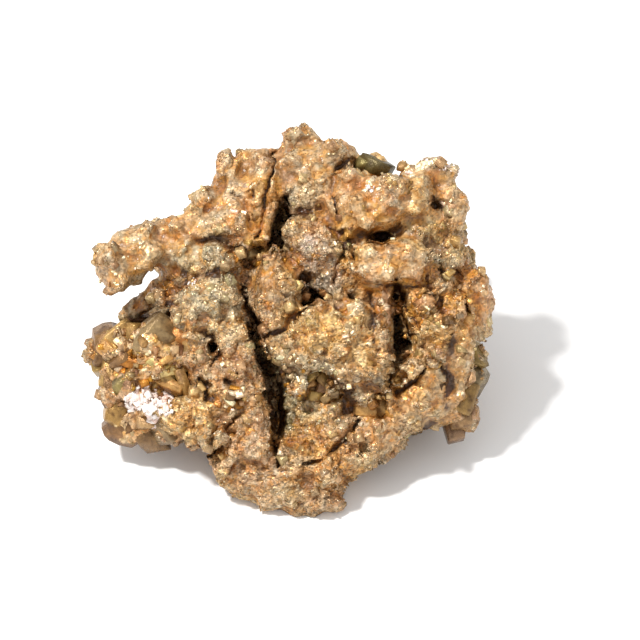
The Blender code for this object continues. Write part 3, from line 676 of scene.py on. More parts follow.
# The foot's broken face stays flat, so relief fades out just above it.
above_foot = smoothstep(0.1, 1.5, skin_points[:, 2])
rock_points = skin_points + base_normals * (base_height * above_foot)[:, None]
rock_points -= OUT * (cleft_depth * above_foot)[:, None]
rock_points[:, 2] = np.maximum(rock_points[:, 2], 0.0)
rock_normals = normals_of(rock_points, skin_faces)
rock_places = to_display(rock_points)
print("relief, mm:", base_height.min().round(2), "to", base_height.max().round(2))

# %% [markdown]
# ## Where rust gathers, and where shade is painted
#
# Rust and dust stay in hollows and are rubbed off high places, and painted shade darkens the
# hollows too. A point lies in a hollow where its neighbours stand further out than it does. That is
# measured on the skin by spreading each point's place over its neighbours and seeing which way the
# average moved: a few passes find the hollows between grains, and many passes find those between
# rods. The clefts count as hollows too. The room before each point tells where an overhang or a near
# wall shelters it from the sky, and painted light and shade follow that shelter and the way each rod
# faces.

# %% Hollows
FINE_PASSES, WIDE_PASSES, SHELTER_PASSES = 8, 45, 6  # times that values are spread


def spread_out(points, faces, passes):
    """Each point's values replaced by the mean of its neighbours', over and over."""
    starts = np.concatenate([faces[:, 0], faces[:, 1], faces[:, 2]])
    ends = np.concatenate([faces[:, 1], faces[:, 2], faces[:, 0]])
    count = np.bincount(starts, minlength=len(points)).astype(float)
    average = points.copy()
    for _ in range(passes):
        sums = [np.bincount(starts, column[ends], len(points)) for column in average.T]
        average = np.stack(sums, axis=1) / count[:, None]
    return average


def depth_below(average, points, normals):
    """How far each point lies below the average of its neighbourhood, in mm along its way out."""
    return np.einsum("ij,ij->i", average - points, normals)


fine_average = spread_out(rock_points, skin_faces, FINE_PASSES)
wide_average = spread_out(fine_average, skin_faces, WIDE_PASSES)
fine_depth = depth_below(fine_average, rock_points, rock_normals)
wide_depth = depth_below(wide_average, rock_points, rock_normals)
hollow = 0.45 * smoothstep(-0.25, 0.40, fine_depth) + 0.40 * smoothstep(-0.8, 1.2, wide_depth)
hollow = np.maximum(hollow, 0.95 * cleft_near)
# Painted light and shade: what faces out of the display side and up is painted lighter, at the scale of
# whole rods.
painted_light_from = 0.40 * UP - 0.10 * ACROSS + 0.91 * OUT
painted_light_and_shade = smoothstep(-0.7, 0.9, normals_of(wide_average, skin_faces) @ painted_light_from)
# Under an overhang and between two rods there is little sky, found from the room before each point, and
# painted shade darkens it there.
shelter_shade = spread_out((1 - smoothstep(0.5, 6.0, room))[:, None], skin_faces, SHELTER_PASSES)[:, 0]
painted_light_and_shade = np.maximum(painted_light_and_shade - 0.8 * shelter_shade, -0.7)
print("fine depth, mm:", np.percentile(fine_depth, [5, 50, 95]).round(2))
print("wide depth, mm:", np.percentile(wide_depth, [5, 50, 95]).round(2))
print("hollow:", np.percentile(hollow, [5, 25, 50, 75, 95]).round(2))

# %% [markdown]
# ## Tints
#
# The tarnish on pyrite is a film of iron oxides whose colour depends on its thickness: tan where it
# is thin, copper and orange where it is thicker, brown where it is old. Damp hollows grow a
# grey-green or lilac bloom. The two darkest browns are painted shade. Each tint is an sRGB hex value,
# turned to linear light by one function.


# %% Colours
def linear(hex_code):
    """sRGB hex to linear light: c / 12.92 up to 0.04045, ((c + 0.055) / 1.055)^2.4 above."""
    channels = np.array([int(hex_code[i : i + 2], 16) / 255 for i in (1, 3, 5)])
    return np.where(channels <= 0.04045, channels / 12.92, ((channels + 0.055) / 1.055) ** 2.4)


TAN = linear("#c0a077")
GOLD = linear("#cfab6c")
COPPER = linear("#b98d66")
ORANGE = linear("#c2894a")
BROWN = linear("#8a6745")
PAINTED_SHADE_BROWN = linear("#5e3b1c")
GREY_GREEN = linear("#b5aa8c")
OLIVE = linear("#988558")
LILAC = linear("#ab9888")
HONEY = linear("#b08d55")
GREY_TAN = linear("#a08a6c")
# Painted shade: the bottoms of the clefts, and a dark crystal deep in a gap.
PALE = linear("#f4e6c8")
DUST = linear("#c6b799")
CREAM = linear("#e8cf94")
COLUMN_BROWN = linear("#94694a")
MOSS = linear("#6f6440")
GREY_BROWN = linear("#8f7c64")
# Painted shadow: the lower finger where the upper one shades it.
SHADED_BROWN = linear("#75502f")
STAIN = linear("#be8732")
RUST = linear("#96622c")
AMBER = linear("#d8a052")

# Tint, strength, and soft balls (across, up, out, radius) in mm on the display side. Later ones lie
# over earlier ones.
TINTS = (
    (GREY_GREEN, 0.75, [(-17, 3, 4, 7.5), (-13.5, 6, 4, 6), (-15, 13.5, 4, 4.5), (-20, 13, 2, 4)]),
    (COPPER, 0.70, [(-9, -20, 3, 9), (-10, -10, 3, 7), (-8, -28, 2, 7), (-14, -26, 1, 6)]),
    # The ball at (-13, 23) is painted shade under the upper left rod.
    (BROWN, 0.75, [(-31.6, -12, -1, 4.5), (-3, 6, 5, 5.5), (6, 3.4, 6, 3.6), (-13, 23, -1, 4.5)]),
    (COLUMN_BROWN, 0.95, [(19, 5, 4, 3.8), (19, 1, 4, 3.8), (19.2, -3, 4, 3.8), (19.2, -7, 3.6, 3.8)]),
    # Painted shadow on the lower finger, under the upper one.
    (SHADED_BROWN, 0.85, [(-30, 2, -5, 4), (-25, 5, -1, 5.5)]),
    (BROWN, 0.50, [
        (-12, 25, 0, 5), (-6, 31, 0, 3.6), (-3, 26, 1, 3), (-4, 10, 5, 5), (3, 36, -4, 4),
        (1, 17, 3, 4),
    ]),
    (ORANGE, 0.50, [(-8, 21, 1, 7), (2.6, 14, 1, 3.6), (16, 21, 5, 6), (-7, 13, 2, 4)]),
    (LILAC, 0.80, [(5.6, 9.5, 4, 5.5), (5, 14, 4, 4.6), (-3.4, -31, 0, 5), (-10, 1, 2, 2.6)]),
    (OLIVE, 0.60, [(1.6, -17, -3, 6), (2, -24, -2, 5.5), (11, 16, 2, 5), (22, 16, 1, 6)]),
    (GREY_GREEN, 0.55, [
        (3, -9.5, 6, 4.5), (8, -11, 6, 4.5), (14, -12, 5, 6), (3, 24, 0, 5), (28, 10, 2, 6),
    ]),
    (GREY_BROWN, 0.60, [(12, -13, 5, 5), (16, -11, 4, 4.5), (7, 10, 3, 3), (-1.5, -31, 0, 5)]),
    (ORANGE, 0.40, [(30, 3, 3, 9), (8, -16, -3, 5), (36, 6, -2, 6)]),
    (GOLD, 0.70, [(26, -3, 3, 7), (6, -2, 8, 6), (-20, -19, 2, 7)]),
    (TAN, 0.80, [(28, -13, 2, 9), (33, 22, 2, 5), (20, -22, 0, 6)]),
    (MOSS, 0.80, [(0.6, -15, -2, 3.6), (0.8, -20, -2, 3.6), (1.4, -25, -2, 3)]),
    (STAIN, 0.80, [(6, -13, -1, 4.5), (18, -15, 1, 4.5), (32, 0, 1, 4), (22, 8, 3, 3)]),
    (GREY_TAN, 0.60, [(-30, 13, 1, 10), (-14, 23, -1, 7), (4, 31, -3, 9), (-37, -5, -5, 5)]),
    (AMBER, 0.60, [
        (-7, -16, 3, 5), (-12, -25, 1, 5.5), (-4, -25, 1, 4), (24, -12, 2, 6), (18, -16, 1, 6),
        (9, -13, 0, 6), (31, 1, 0, 8), (24, 7, 2, 6), (15, 8, 3, 4), (19, 17, 3, 5), (8, -29, 0, 6),
    ]),
    (PALE, 0.75, [(24, 30, 0, 2.6), (28, 31.6, 0, 2.6), (32.4, 31.6, 0, 2.4)]),
    (STAIN, 0.75, [
        (-5, 26, 0, 4.5), (-7, 18, 1, 4.5), (-3.6, 12, 2, 3.6), (26, 2, 2, 6), (33, 2, 0, 5.5),
        (8, -16, -2, 5), (4, -22, -1, 4), (10, 18, 3, 3.4), (17, 19, 4, 4), (18, 8.6, 4, 3),
        (37, 10, -2, 3.6), (-12, 12.6, 3, 3), (-24, -9, 1, 4), (23, -12, 1, 3.6),
    ]),
)


def tint_at(points, places):
    """The film's colour at each point: tan, copper and gold by noise, then each tint by its balls.

    Over that come small swirls of rust and bloom, cells a little lighter or darker than their
    neighbours, and pale bead tops that are painted highlights.
    """
    colour = np.tile(TAN, (len(points), 1))
    patches = soft_noise(points, 5.0, 200)
    colour += (COPPER - TAN) * smoothstep(0.0, 0.7, patches)[:, None] * 0.7
    colour += (GOLD - TAN) * smoothstep(0.0, 0.7, -patches)[:, None] * 0.7
    for tint, strength, balls in TINTS:
        share = (strength * within(places, balls))[:, None]
        colour += (tint - colour) * share
    swirl = soft_noise(points, 1.7, 205) + 0.4 * soft_noise(points, 0.8, 206)
    colour += (STAIN - colour) * (0.24 * smoothstep(0.2, 0.6, swirl))[:, None]
    colour += (GREY_GREEN - colour) * (0.34 * smoothstep(0.15, 0.6, -swirl))[:, None]
    for size, least, most, salt in ((2.0, 0.88, 1.10, 220), (1.1, 0.88, 1.12, 221)):
        colour *= (least + (most - least) * hashed(mosaic(points, size, salt)[3], salt + 5))[:, None]
    # Pale bead tops: painted highlights.
    colour += (PALE - colour) * (0.55 * smoothstep(0.2, 0.8, bead_share(points)))[:, None]
    return np.clip(colour, 0, 1)


def weathered_and_shaded(colour, points, depth, lit):
    """Dusty on the heights, stained gold in patches, rusty in the hollows, with painted shade that
    darkens the hollows and is darkest at the bottom.

    What faces away from the sky or sees little of it is darker too: painted light and shade. Depth runs
    from 0 on the heights to about 1 in a cleft.
    """
    stained = smoothstep(-0.1, 0.4, soft_noise(points, 2.2, 210) + 0.5 * soft_noise(points, 0.9, 211))
    stained *= 0.62 * smoothstep(0.15, 0.42, depth)
    dusted = 0.22 * (1 - smoothstep(0.05, 0.35, depth))
    colour = colour + (DUST - colour) * dusted[:, None]
    # Painted shade: the hollows a little darker.
    colour = colour * (1.04 - 0.12 * smoothstep(0.1, 0.5, depth))[:, None]
    # Painted light and shade: lighter where a rod faces out and up, darker where little sky reaches.
    colour = colour * (0.74 + 0.23 * lit)[:, None]
    colour = colour + (STAIN - colour) * stained[:, None]
    colour = colour + (RUST - colour) * (0.60 * smoothstep(0.50, 0.85, depth))[:, None]
    # Painted shade: the bottom of a cleft dark brown.
    return colour + (0.4 * PAINTED_SHADE_BROWN - colour) * (0.9 * smoothstep(0.78, 0.95, depth))[:, None]


print(len(TINTS), "tints laid by", sum(len(balls) for _, _, balls in TINTS), "balls")
rock_tint = weathered_and_shaded(tint_at(rock_points, rock_places), rock_points, hollow, painted_light_and_shade)
print("mean tint:", rock_tint.mean(axis=0).round(3))

# %% [markdown]
# ## The rusty film
#
# This is the finish of the skin under the druse: pyrite with a thin weathered film. Where the film
# is thick it is a dull brown mineral; where it is worn the metal-like sulphide shows. A Voronoi
# pattern with cells of a grain's width decides, grain by grain, which of the two is seen.


# %% Material helpers
PER_METRE = 1 / MM  # a texture's scale for a pattern of one cell a millimetre


def set_inputs(tree, node, inputs):
    """Each named input gets its value, or a link where the value is another node's output."""
    for label, value in inputs.items():
        if isinstance(value, bpy.types.NodeSocket):
            tree.links.new(value, node.inputs[label])
        else:
            node.inputs[label].default_value = value


def add_node(tree, kind, settings=None, inputs=None, stops=()):
    """One node of a kind, with its settings and inputs, and the (position, colour) stops of a ramp."""
    node = tree.nodes.new(kind)
    for label, value in (settings or {}).items():
        setattr(node, label, value)
    set_inputs(tree, node, inputs or {})
    for number, (position, colour) in enumerate(stops):
        elements = node.color_ramp.elements
        element = elements[number] if number < len(elements) else elements.new(position)
        element.position = position
        element.color = (*colour, 1.0)
    return node


def new_material(name, values=(), colours=()):
    """A material, its node tree, object coordinates, and the outputs of the named attributes."""
    material = bpy.data.materials.new(name)
    material.use_nodes = True
    tree = material.node_tree
    outputs = [add_node(tree, "ShaderNodeTexCoord").outputs["Object"]]
    for labels, socket in ((colours, "Color"), (values, "Fac")):
        for label in labels:
            node = add_node(tree, "ShaderNodeAttribute", {"attribute_name": label})
            outputs.append(node.outputs[socket])
    return material, tree, outputs


def finished(material, inputs):
    """The material, with the inputs of its Principled shader set or linked."""
    set_inputs(material.node_tree, material.node_tree.nodes["Principled BSDF"], inputs)
    print(material.name, len(material.node_tree.nodes), "nodes")
    return material


# %% Weathered pyrite
GRAIN_WIDTH = 0.48  # mm, cells that differ in lightness, gloss and wear
FINE_GRAIN, BLOTCH = 0.58, 2.6  # mm, cells of the low relief, and patches of rust
LAYER = 1.3  # mm from one layer of the flaky crust to the next
WAVE_PERIOD = 0.314  # of the wave texture at scale 1
RELIEF = 0.22  # mm, height of the relief that is too fine for the mesh
RUSTED = (0.88, 0.66, 0.42)  # linear light let through by rust


def weathered_pyrite():
    """Tint times a random lightness, multiplied by rust in blotches, bare and glossy grain by grain."""
    material, tree, (place, tint, hollow_share, rough_share, flaky_share) = new_material(
        "weathered_pyrite", ("hollow", "rough", "flaky"), ("tint",)
    )
    grains = add_node(
        tree, "ShaderNodeTexVoronoi", {"feature": "F1"},
        {"Vector": place, "Scale": PER_METRE / GRAIN_WIDTH},
    )
    random = add_node(
        tree, "ShaderNodeSeparateColor", inputs={"Color": grains.outputs["Color"]}
    ).outputs
    blotches = add_node(
        tree, "ShaderNodeTexNoise", {"noise_dimensions": "3D"},
        {"Vector": place, "Scale": PER_METRE / BLOTCH, "Detail": 3.0, "Roughness": 0.5},
    )
    darkest = add_node(
        tree, "ShaderNodeMapRange",
        inputs={"Value": rough_share, "From Min": 0.45, "To Min": 0.64, "To Max": 0.44},
    )
    lightness = add_node(
        tree, "ShaderNodeMapRange",
        inputs={"Value": random["Red"], "To Min": darkest.outputs["Result"], "To Max": 1.40},
    )
    lit = add_node(
        tree, "ShaderNodeVectorMath", {"operation": "SCALE"},
        {0: tint, "Scale": lightness.outputs["Result"]},
    )
    rust = add_node(
        tree, "ShaderNodeValToRGB", inputs={"Fac": blotches.outputs["Fac"]},
        stops=[(0.42, (0, 0, 0)), (0.62, (1, 1, 1))],
    )
    rusty = add_node(
        tree, "ShaderNodeMix", {"data_type": "RGBA", "blend_type": "MULTIPLY"},
        {"Factor": rust.outputs["Color"], "A": lit.outputs["Vector"], "B": (*RUSTED, 1)},
    )
    worn = add_node(
        tree, "ShaderNodeMath", {"operation": "SUBTRACT"}, {0: random["Green"], 1: hollow_share}
    )
    bare = add_node(
        tree, "ShaderNodeMapRange", {"interpolation_type": "SMOOTHSTEP"},
        {"Value": worn.outputs["Value"], "From Min": 0.2, "From Max": 0.6, "To Max": 0.7},
    )
    gloss = add_node(
        tree, "ShaderNodeMapRange", inputs={"Value": random["Blue"], "To Min": 0.26, "To Max": 0.60}
    )
    fine = add_node(
        tree, "ShaderNodeTexVoronoi", {"feature": "F1"},
        {"Vector": place, "Scale": PER_METRE / FINE_GRAIN},
    )
    layers = add_node(
        tree, "ShaderNodeTexWave", {"wave_type": "BANDS", "bands_direction": "Z"},
        {"Vector": place, "Scale": PER_METRE * WAVE_PERIOD / LAYER, "Distortion": 9.0,
         "Detail": 3.0, "Detail Scale": 1.4, "Detail Roughness": 0.6},
    )
    height = add_node(
        tree, "ShaderNodeMix", {"data_type": "FLOAT"},
        {"Factor": flaky_share, "A": fine.outputs["Distance"], "B": layers.outputs["Fac"]},
    )
    bump = add_node(
        tree, "ShaderNodeBump", inputs={
            "Height": height.outputs["Result"], "Strength": rough_share, "Distance": RELIEF * MM,
        },
    )
    return finished(material, {
        "Base Color": rusty.outputs[2], "Metallic": bare.outputs["Result"],
        "Roughness": gloss.outputs["Result"], "Normal": bump.outputs["Normal"],
    })


# %% [markdown]
# ## The rock in two pieces
#
# The skin has more triangles than one piece may hold, so a plane parts it into a front and a back.
# The bisect tool keeps one side of the plane, and a flat fill closes the cut, so each piece is a
# closed solid. The plane lies where it leaves as many points before it as behind it.

# %% The rock itself
def parted(mesh, side):
    """What lies in front of the middle plane (side 1) or behind it (side -1), with the cut filled."""
    middle = float(np.median(rock_points @ OUT)) * MM
    model = bmesh.new()
    model.from_mesh(mesh)
    cut = bmesh.ops.bisect_plane(
        model, geom=model.verts[:] + model.edges[:] + model.faces[:],
        plane_co=Vector(OUT * middle), plane_no=Vector(-OUT * side), clear_outer=True,
    )
    rim = [item for item in cut["geom_cut"] if isinstance(item, bmesh.types.BMEdge)]
    bmesh.ops.triangle_fill(model, edges=rim, normal=Vector(-OUT * side))
    bmesh.ops.triangulate(model, faces=model.faces[:])
    model.to_mesh(mesh)
    open_edges = sum(not edge.is_manifold for edge in model.edges)
    print(mesh.name, len(model.faces), "triangles, edges left open:", open_edges)
    model.free()


rock_finish = weathered_pyrite()
smooth = within(rock_places, SMOOTH_STRETCHES)
flaky = within(rock_places, FLAKY_STRETCHES)
knobbly = within(rock_places, KNOBBLY_STRETCHES)
rough = 1.0 - 0.55 * np.maximum(knobbly, smooth)
rock_values = {"tint": rock_tint, "hollow": hollow, "rough": rough, "flaky": flaky}
for name, side in (("rock_front", 1), ("rock_back", -1)):
    rock = new_piece(name, rock_points, skin_faces, rock_values)
    parted(rock.data, side)
    rock.data.materials.append(rock_finish)
    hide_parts(NODE)

# %% [markdown]
# ## Crystals of the flanks and the crown
#
# The solid model already holds the large crystals; here each is grown again with its own mix of
# faces, and a crowd of smaller ones fills the spaces between them. The left flank is glassy gold and
# brown, the right flank duller and tan, and two dark olive crystals stand behind the crown. Single
# pale crystals elsewhere are turned so that they flash.

# %% Places of the large crystals
# (across, up, out) of the middle, half length, half width and half thickness, all in mm on the
# display side; the angle of the long way from "across", in degrees; blockiness 0 to 1; and tint.
LARGE_CRYSTALS = (
    (-37.2, -5, -5.2, 5, 3.6, 3.6, 50, 0.1, BROWN), (-38, -8.2, -6.4, 3.4, 2.6, 2.6, 120, 0.5, HONEY),
    (-34.4, -2.8, -3.4, 4.6, 2.2, 2.6, 25, 0.4, GOLD), (-31.2, -3.6, -2, 4, 2, 2.4, 70, 0.7, HONEY),
    (-35.4, -6.6, -3, 4.2, 2, 2.2, -20, 0.5, GOLD), (-32.8, -7, -1.6, 3.8, 2.6, 2.4, 35, 0.2, BROWN),
    (-26.6, -3.6, 0.8, 5.8, 4.6, 3.6, 40, 0.1, GREY_TAN),
    (-29.4, -5.4, -0.6, 3.8, 3, 2.8, 60, 0.3, BROWN),
    (-21.6, -3.6, 0.8, 3.6, 2.6, 2.4, 120, 0.4, ORANGE), (-18.8, -5.8, 1.6, 3.8, 3, 2.8, 80, 0.3, TAN),
    (-24, -6.6, 1, 4.6, 2.8, 2.6, -10, 0.5, BROWN), (-30.4, -8.6, -0.4, 4.2, 1.8, 2.4, -35, 0.8, STAIN),
    (-27.8, -8.8, 0.4, 3.6, 1.8, 2.2, 45, 0.8, CREAM),
    (-25.4, -9.8, 0.6, 5.2, 1.4, 2.4, -25, 0.9, CREAM),
    (-24.6, -11.4, 0.4, 4.8, 1.4, 2.2, -40, 0.9, GOLD),
    (-22.8, -9.6, 0.8, 4.2, 1.6, 2.2, -5, 0.9, CREAM), (-24, -13.2, 0.6, 4.4, 1.2, 2.2, -32, 1, GOLD),
    (-21.6, -12, 1, 3.8, 1.2, 2.2, -50, 1, HONEY), (-31.8, -12.6, -1.2, 3.9, 3.4, 2.6, 20, 0.1, OLIVE),
    (-35.8, -11, -4, 3.8, 2.4, 2.6, 80, 0.6, GOLD), (-35.6, -14, -4.4, 4, 2.8, 2.8, 95, 0.3, BROWN),
    (-34.2, -17.6, -4.2, 4.2, 3, 2.8, 60, 0.2, HONEY),
    (-32.6, -21.4, -6.4, 5.2, 4, 3.6, -20, 0.1, BROWN),
    (-28.6, -23, -5.6, 4.8, 3.2, 3.2, -10, 0.1, BROWN), (-28.2, -19.6, -3.2, 4, 3, 2.8, 15, 0.4, TAN),
    (-24.8, -22, -3.2, 4.2, 2.8, 2.8, -60, 0.2, GREY_TAN),
    (36.4, -7, -5, 4.2, 2.6, 2.8, 100, 0.3, HONEY),
    (36.6, -12.2, -5.2, 4.4, 2.6, 2.8, 80, 0.3, GREY_TAN),
    (34.8, -15.8, -3.8, 4.2, 2.8, 3, 95, 0.5, HONEY), (34.8, -19.6, -5.8, 4, 2.8, 2.8, 70, 0.2, TAN),
    (33, -22.4, -6.8, 2.8, 2.2, 2.2, 100, 0.4, GREY_TAN),
    (31.4, -12.6, -1.6, 3.6, 2.4, 2.4, 60, 0.5, TAN), (3.8, -12.6, 0.8, 1.8, 1.2, 1.6, 20, 0.8, HONEY),
    (6.2, -13.4, 1, 1.6, 1.3, 1.6, 70, 0.9, BROWN), (4.4, -11, 2.2, 1.9, 1.3, 1.6, 10, 0.8, GOLD),
    (7, -11.8, 2.4, 1.8, 1.3, 1.6, -20, 0.8, HONEY), (5, -15, 0.2, 2, 1.2, 1.6, -30, 0.9, GOLD),
    (7.6, -15.6, 0.6, 1.7, 1.1, 1.6, 40, 0.9, TAN), (15.4, -17.6, 0, 3, 1.8, 2.6, 10, 0.5, GOLD),
    (18.6, -17, 0.4, 2.6, 1.8, 2.6, -30, 0.6, HONEY), (17.2, 31, -3.2, 3.8, 2, 2.4, -28, 0.3, MOSS),
    # The dark brown crystal at (-30.6, 0.2), deep in the gap under the lower finger, is painted shade
    # there.
    (15, 31.6, -3.4, 2.4, 1.5, 2, 30, 0.3, OLIVE), (-30.6, 0.2, -8, 3.8, 1.8, 3, 10, 0.2, PAINTED_SHADE_BROWN),
)
SMALL_CRYSTAL_ZONES = (  # (across, up, radius) of a round zone, crystals, smallest and largest radius
    ((-34, -6, 5), 22, 0.7, 1.6), ((-28.5, -10, 4.5), 34, 0.6, 1.5), ((-23.5, -10.5, 3), 12, 0.6, 1.4),
    ((-35, -13, 4), 10, 0.7, 1.4), ((36, -12, 7), 14, 0.8, 1.8), ((-10.5, -15.5, 2.4), 14, 0.8, 1.8),
    ((22, 26, 3), 7, 0.5, 1), ((-8, 12, 4), 20, 0.5, 1.3), ((4, -13, 5), 20, 0.5, 1.4),
    ((1.5, 12, 3), 12, 0.5, 1.2), ((31, 4, 6), 20, 0.5, 1.4), ((10, 20, 6), 18, 0.5, 1.3),
)
# Pale crystals that hold a face to the sun: (across, up, half width) in mm on the display side.
BRIGHT_CRYSTALS = (
    (17.8, 30.4, 1.1), (-10, 21, 1.5), (12, -3.6, 1.2), (-1, -8.2, 1.2), (1.2, -7.4, 0.9),
    (-4.4, -5, 0.9), (4.4, -8.6, 0.7), (7, -9.2, 0.9), (8.4, -9.8, 0.7), (11, -13, 1),
    (9.6, -12.4, 0.7), (2, -12.6, 1.1), (-11.6, -15.6, 2), (-9.8, -14.4, 1.5), (-12.4, -17, 1.3),
    (18.4, 3.6, 1), (31.2, 23.2, 1.4), (34.6, -16, 2), (-34.6, -4.8, 1.5), (-31.4, -3, 1.3),
    (-27.6, -7, 1.2), (-28.4, -10.8, 1.4), (-35.4, -9.4, 1.4), (11, -24.2, 0.9), (22.6, -13, 1),
    (24, 29.8, 1.2), (26.2, 30.8, 1.1), (28.4, 31.8, 1.1), (30.6, 32.2, 1.2), (15.4, 26.2, 1.3),
    (17.4, 26.6, 0.9), (-38.4, 7.6, 0.8), (-35, 9.6, 0.9), (-34.4, 7, 0.8), (-32.8, 13, 0.8),
    (-30, 10.6, 0.7), (-29.6, 15, 0.7), (-7.4, 27, 0.9), (-17.6, 26.4, 0.8), (20.6, 16.8, 0.8),
    (9, 15.4, 0.8), (30.6, -1.6, 0.9), (27.4, 2.6, 0.8), (-8.2, -21, 0.8), (-2, -26.4, 0.8),
    (5.6, -20.6, 0.9), (14.6, -21, 0.8), (38, 6.4, 0.8), (-14, -7.6, 0.8), (2.4, 26, 0.8),
    (8, 33.6, 0.8),
)
SUNWARD = np.array([-0.23, 0.31, 0.92])  # across, up, out: half way between the sun and the viewer
GLINT_SHARES = (0.62, 0.42, 0.34)  # radii of the three crystals of a glint, in its half widths
print(len(LARGE_CRYSTALS), "large crystals,", len(BRIGHT_CRYSTALS), "glints")


# %% Grow them
def shaded(tint, rng, spread=0.22):
    """A tint made a little lighter or darker, and a little yellower or redder."""
    return np.clip(tint * rng.uniform(1 - spread, 1 + spread) * rng.uniform(0.92, 1.08, 3), 0, 1)


def display_seats(zone):
    """Numbers of the skin's points that face out of the display side inside a round zone."""
    near = np.linalg.norm(rock_places[:, :2] - zone[:2], axis=1) < zone[2]
    near &= (rock_normals @ OUT > 0.1) & (rock_places[:, 2] > -12) & (cleft_near < 0.3)
    return np.flatnonzero(near)


def frames_about(normals, rng, most_tilt):
    """A turn for each normal: z along the normal, spun by any angle, then tipped by up to most_tilt.

    Two directions square to the normal come from cross products. The tip is a turn about one of them.
    """
    helper = np.where(np.abs(normals[:, 2:]) < 0.9, [[0.0, 0.0, 1.0]], [[1.0, 0.0, 0.0]])
    side = np.cross(helper, normals)
    side /= np.linalg.norm(side, axis=1)[:, None]
    other = np.cross(normals, side)
    spin = rng.uniform(0, 2 * math.pi, len(normals))[:, None]
    x = side * np.cos(spin) + other * np.sin(spin)
    y = np.cross(normals, x)
    tip = np.radians(most_tilt) * np.sqrt(rng.uniform(0, 1, len(normals)))[:, None]
    z = normals * np.cos(tip) + x * np.sin(tip)
    x = x * np.cos(tip) - normals * np.sin(tip)
    return np.stack([x, y, z], axis=2)


def display_turn(angle):
    """Turning matrix: first axis at that angle on the display side, third axis straight out of it."""
    c, s = math.cos(math.radians(angle)), math.sin(math.radians(angle))
    return np.column_stack([ACROSS * c + UP * s, UP * c - ACROSS * s, OUT])


def small_wobble(rng, most):
    """A turn by a few degrees: the identity plus a random skew part, made square again.

    QR gives the square part with any signs. Times the signs of the other part it is a pure turn.
    """
    a, b, c = rng.uniform(-1, 1, 3) * math.radians(most)
    square, upper = np.linalg.qr(np.array([[1, -c, b], [c, 1, -a], [-b, a, 1]]))
    return square * np.sign(np.diag(upper))


def front_seat(across, up):
    """Number of the skin point that lies furthest out near that place on the display side.

    A millimetre aside counts as much as six further out.
    """
    gap = np.linalg.norm(rock_places[:, :2] - [across, up], axis=1)
    return int(np.argmax(rock_places[:, 2] - 6.0 * gap))


MIRRORED = np.array([1, 1, -1])  # large crystals are mirrored through their middle, in to out
RIGHT_FLANK = 30  # mm across, where the right flank begins
TURNS = 2000


def flank_crystals():
    """The large crystals one by one, then small ones on random points of their zones."""
    rng = np.random.default_rng(11)
    heap = Heap()
    turns = random_turns(rng, TURNS)
    for across, up, out, long, wide, thick, angle, blockiness, tint in LARGE_CRYSTALS:
        shape, faces = grown_crystal(rng, blockiness)
        turn = display_turn(angle) @ small_wobble(rng, 25)
        inner = turns[rng.integers(TURNS)] if blockiness < 0.35 else np.eye(3)
        own = (shape @ inner.T) * np.array([long, wide, thick]) * 1.12
        points = from_display([across, up, out]) + (own * MIRRORED) @ turn.T
        strength = 0.66 if across > RIGHT_FLANK else 0.85
        # Mirroring turns each triangle round, so its corners are listed the other way.
        heap.add(points, faces[:, ::-1], tint=shaded(strength * tint, rng, 0.1), own_place=own)
    for zone, count, smallest, largest in SMALL_CRYSTAL_ZONES:
        for seat in rng.choice(display_seats(zone), count):
            shape, faces = grown_crystal(rng, rng.uniform(0.8, 1))
            radius = smallest + (largest - smallest) * rng.uniform() ** 2
            own = shape * radius * np.array([rng.uniform(0.9, 1.7), 0.8, rng.uniform(0.35, 0.7)])
            middle = rock_points[seat] - rock_normals[seat] * 0.25 * radius
            tint = (GOLD, HONEY, BROWN, TAN, STAIN)[rng.integers(5)]
            if rock_places[seat, 0] > RIGHT_FLANK + 2:
                tint = (HONEY, TAN, GREY_TAN)[rng.integers(3)]
            turn = turns[rng.integers(TURNS)]
            heap.add(middle + own @ turn.T, faces, tint=shaded(tint, rng), own_place=own)
    return heap.piece("flank_crystals")


def bright_crystals():
    """Three pale crystals for each glint, with a face turned to the sun, give or take a few degrees."""
    rng = np.random.default_rng(12)
    heap = Heap()
    sunward = (from_display(SUNWARD) - DISPLAY_MIDDLE)[None]
    for across, up, half_width in BRIGHT_CRYSTALS:
        for share in GLINT_SHARES:
            side = rng.uniform(-0.8, 0.8, 2) * half_width
            seat = front_seat(across + side[0], up + side[1])
            shape, faces = grown_crystal(rng, rng.uniform(0.1, 0.9))
            own = shape * half_width * share * np.array([1.3, rng.uniform(0.6, 1.1), 0.8])
            turn = frames_about(sunward, rng, 6)[0]
            middle = rock_points[seat] - 0.25 * share * half_width * rock_normals[seat]
            heap.add(middle + own @ turn.T, faces, tint=shaded(PALE, rng, 0.08), own_place=own)
    return heap.piece("bright_crystals")


crystals = flank_crystals()

# %% [markdown]
# ## Glassy crystal faces
#
# A large pyrite face is a natural mirror with fine growth lines. A film of oxide over it works as
# tinted glass. So the finish is half metal-like, with a low roughness that wanders over the face,
# and fine lines follow each crystal's own axes, kept per point as its place in its own crystal.


# %% Glassy pyrite
FILM_PATCH = 1.6  # mm
FILM_LIGHT = (  # noise, and the share of the tint's red, green and blue that is seen there
    (0.34, (0.40, 0.32, 0.24)), (0.47, (0.80, 0.73, 0.62)), (0.60, (1.08, 1.01, 0.84)),
    (0.72, (1.5, 1.45, 1.35)),
)
LINES_SCALE = 2.0  # of growth lines about 0.16 mm apart, in a crystal's own millimetres
LINE_DEPTH, PIT_DEPTH = 0.06, 0.35  # mm


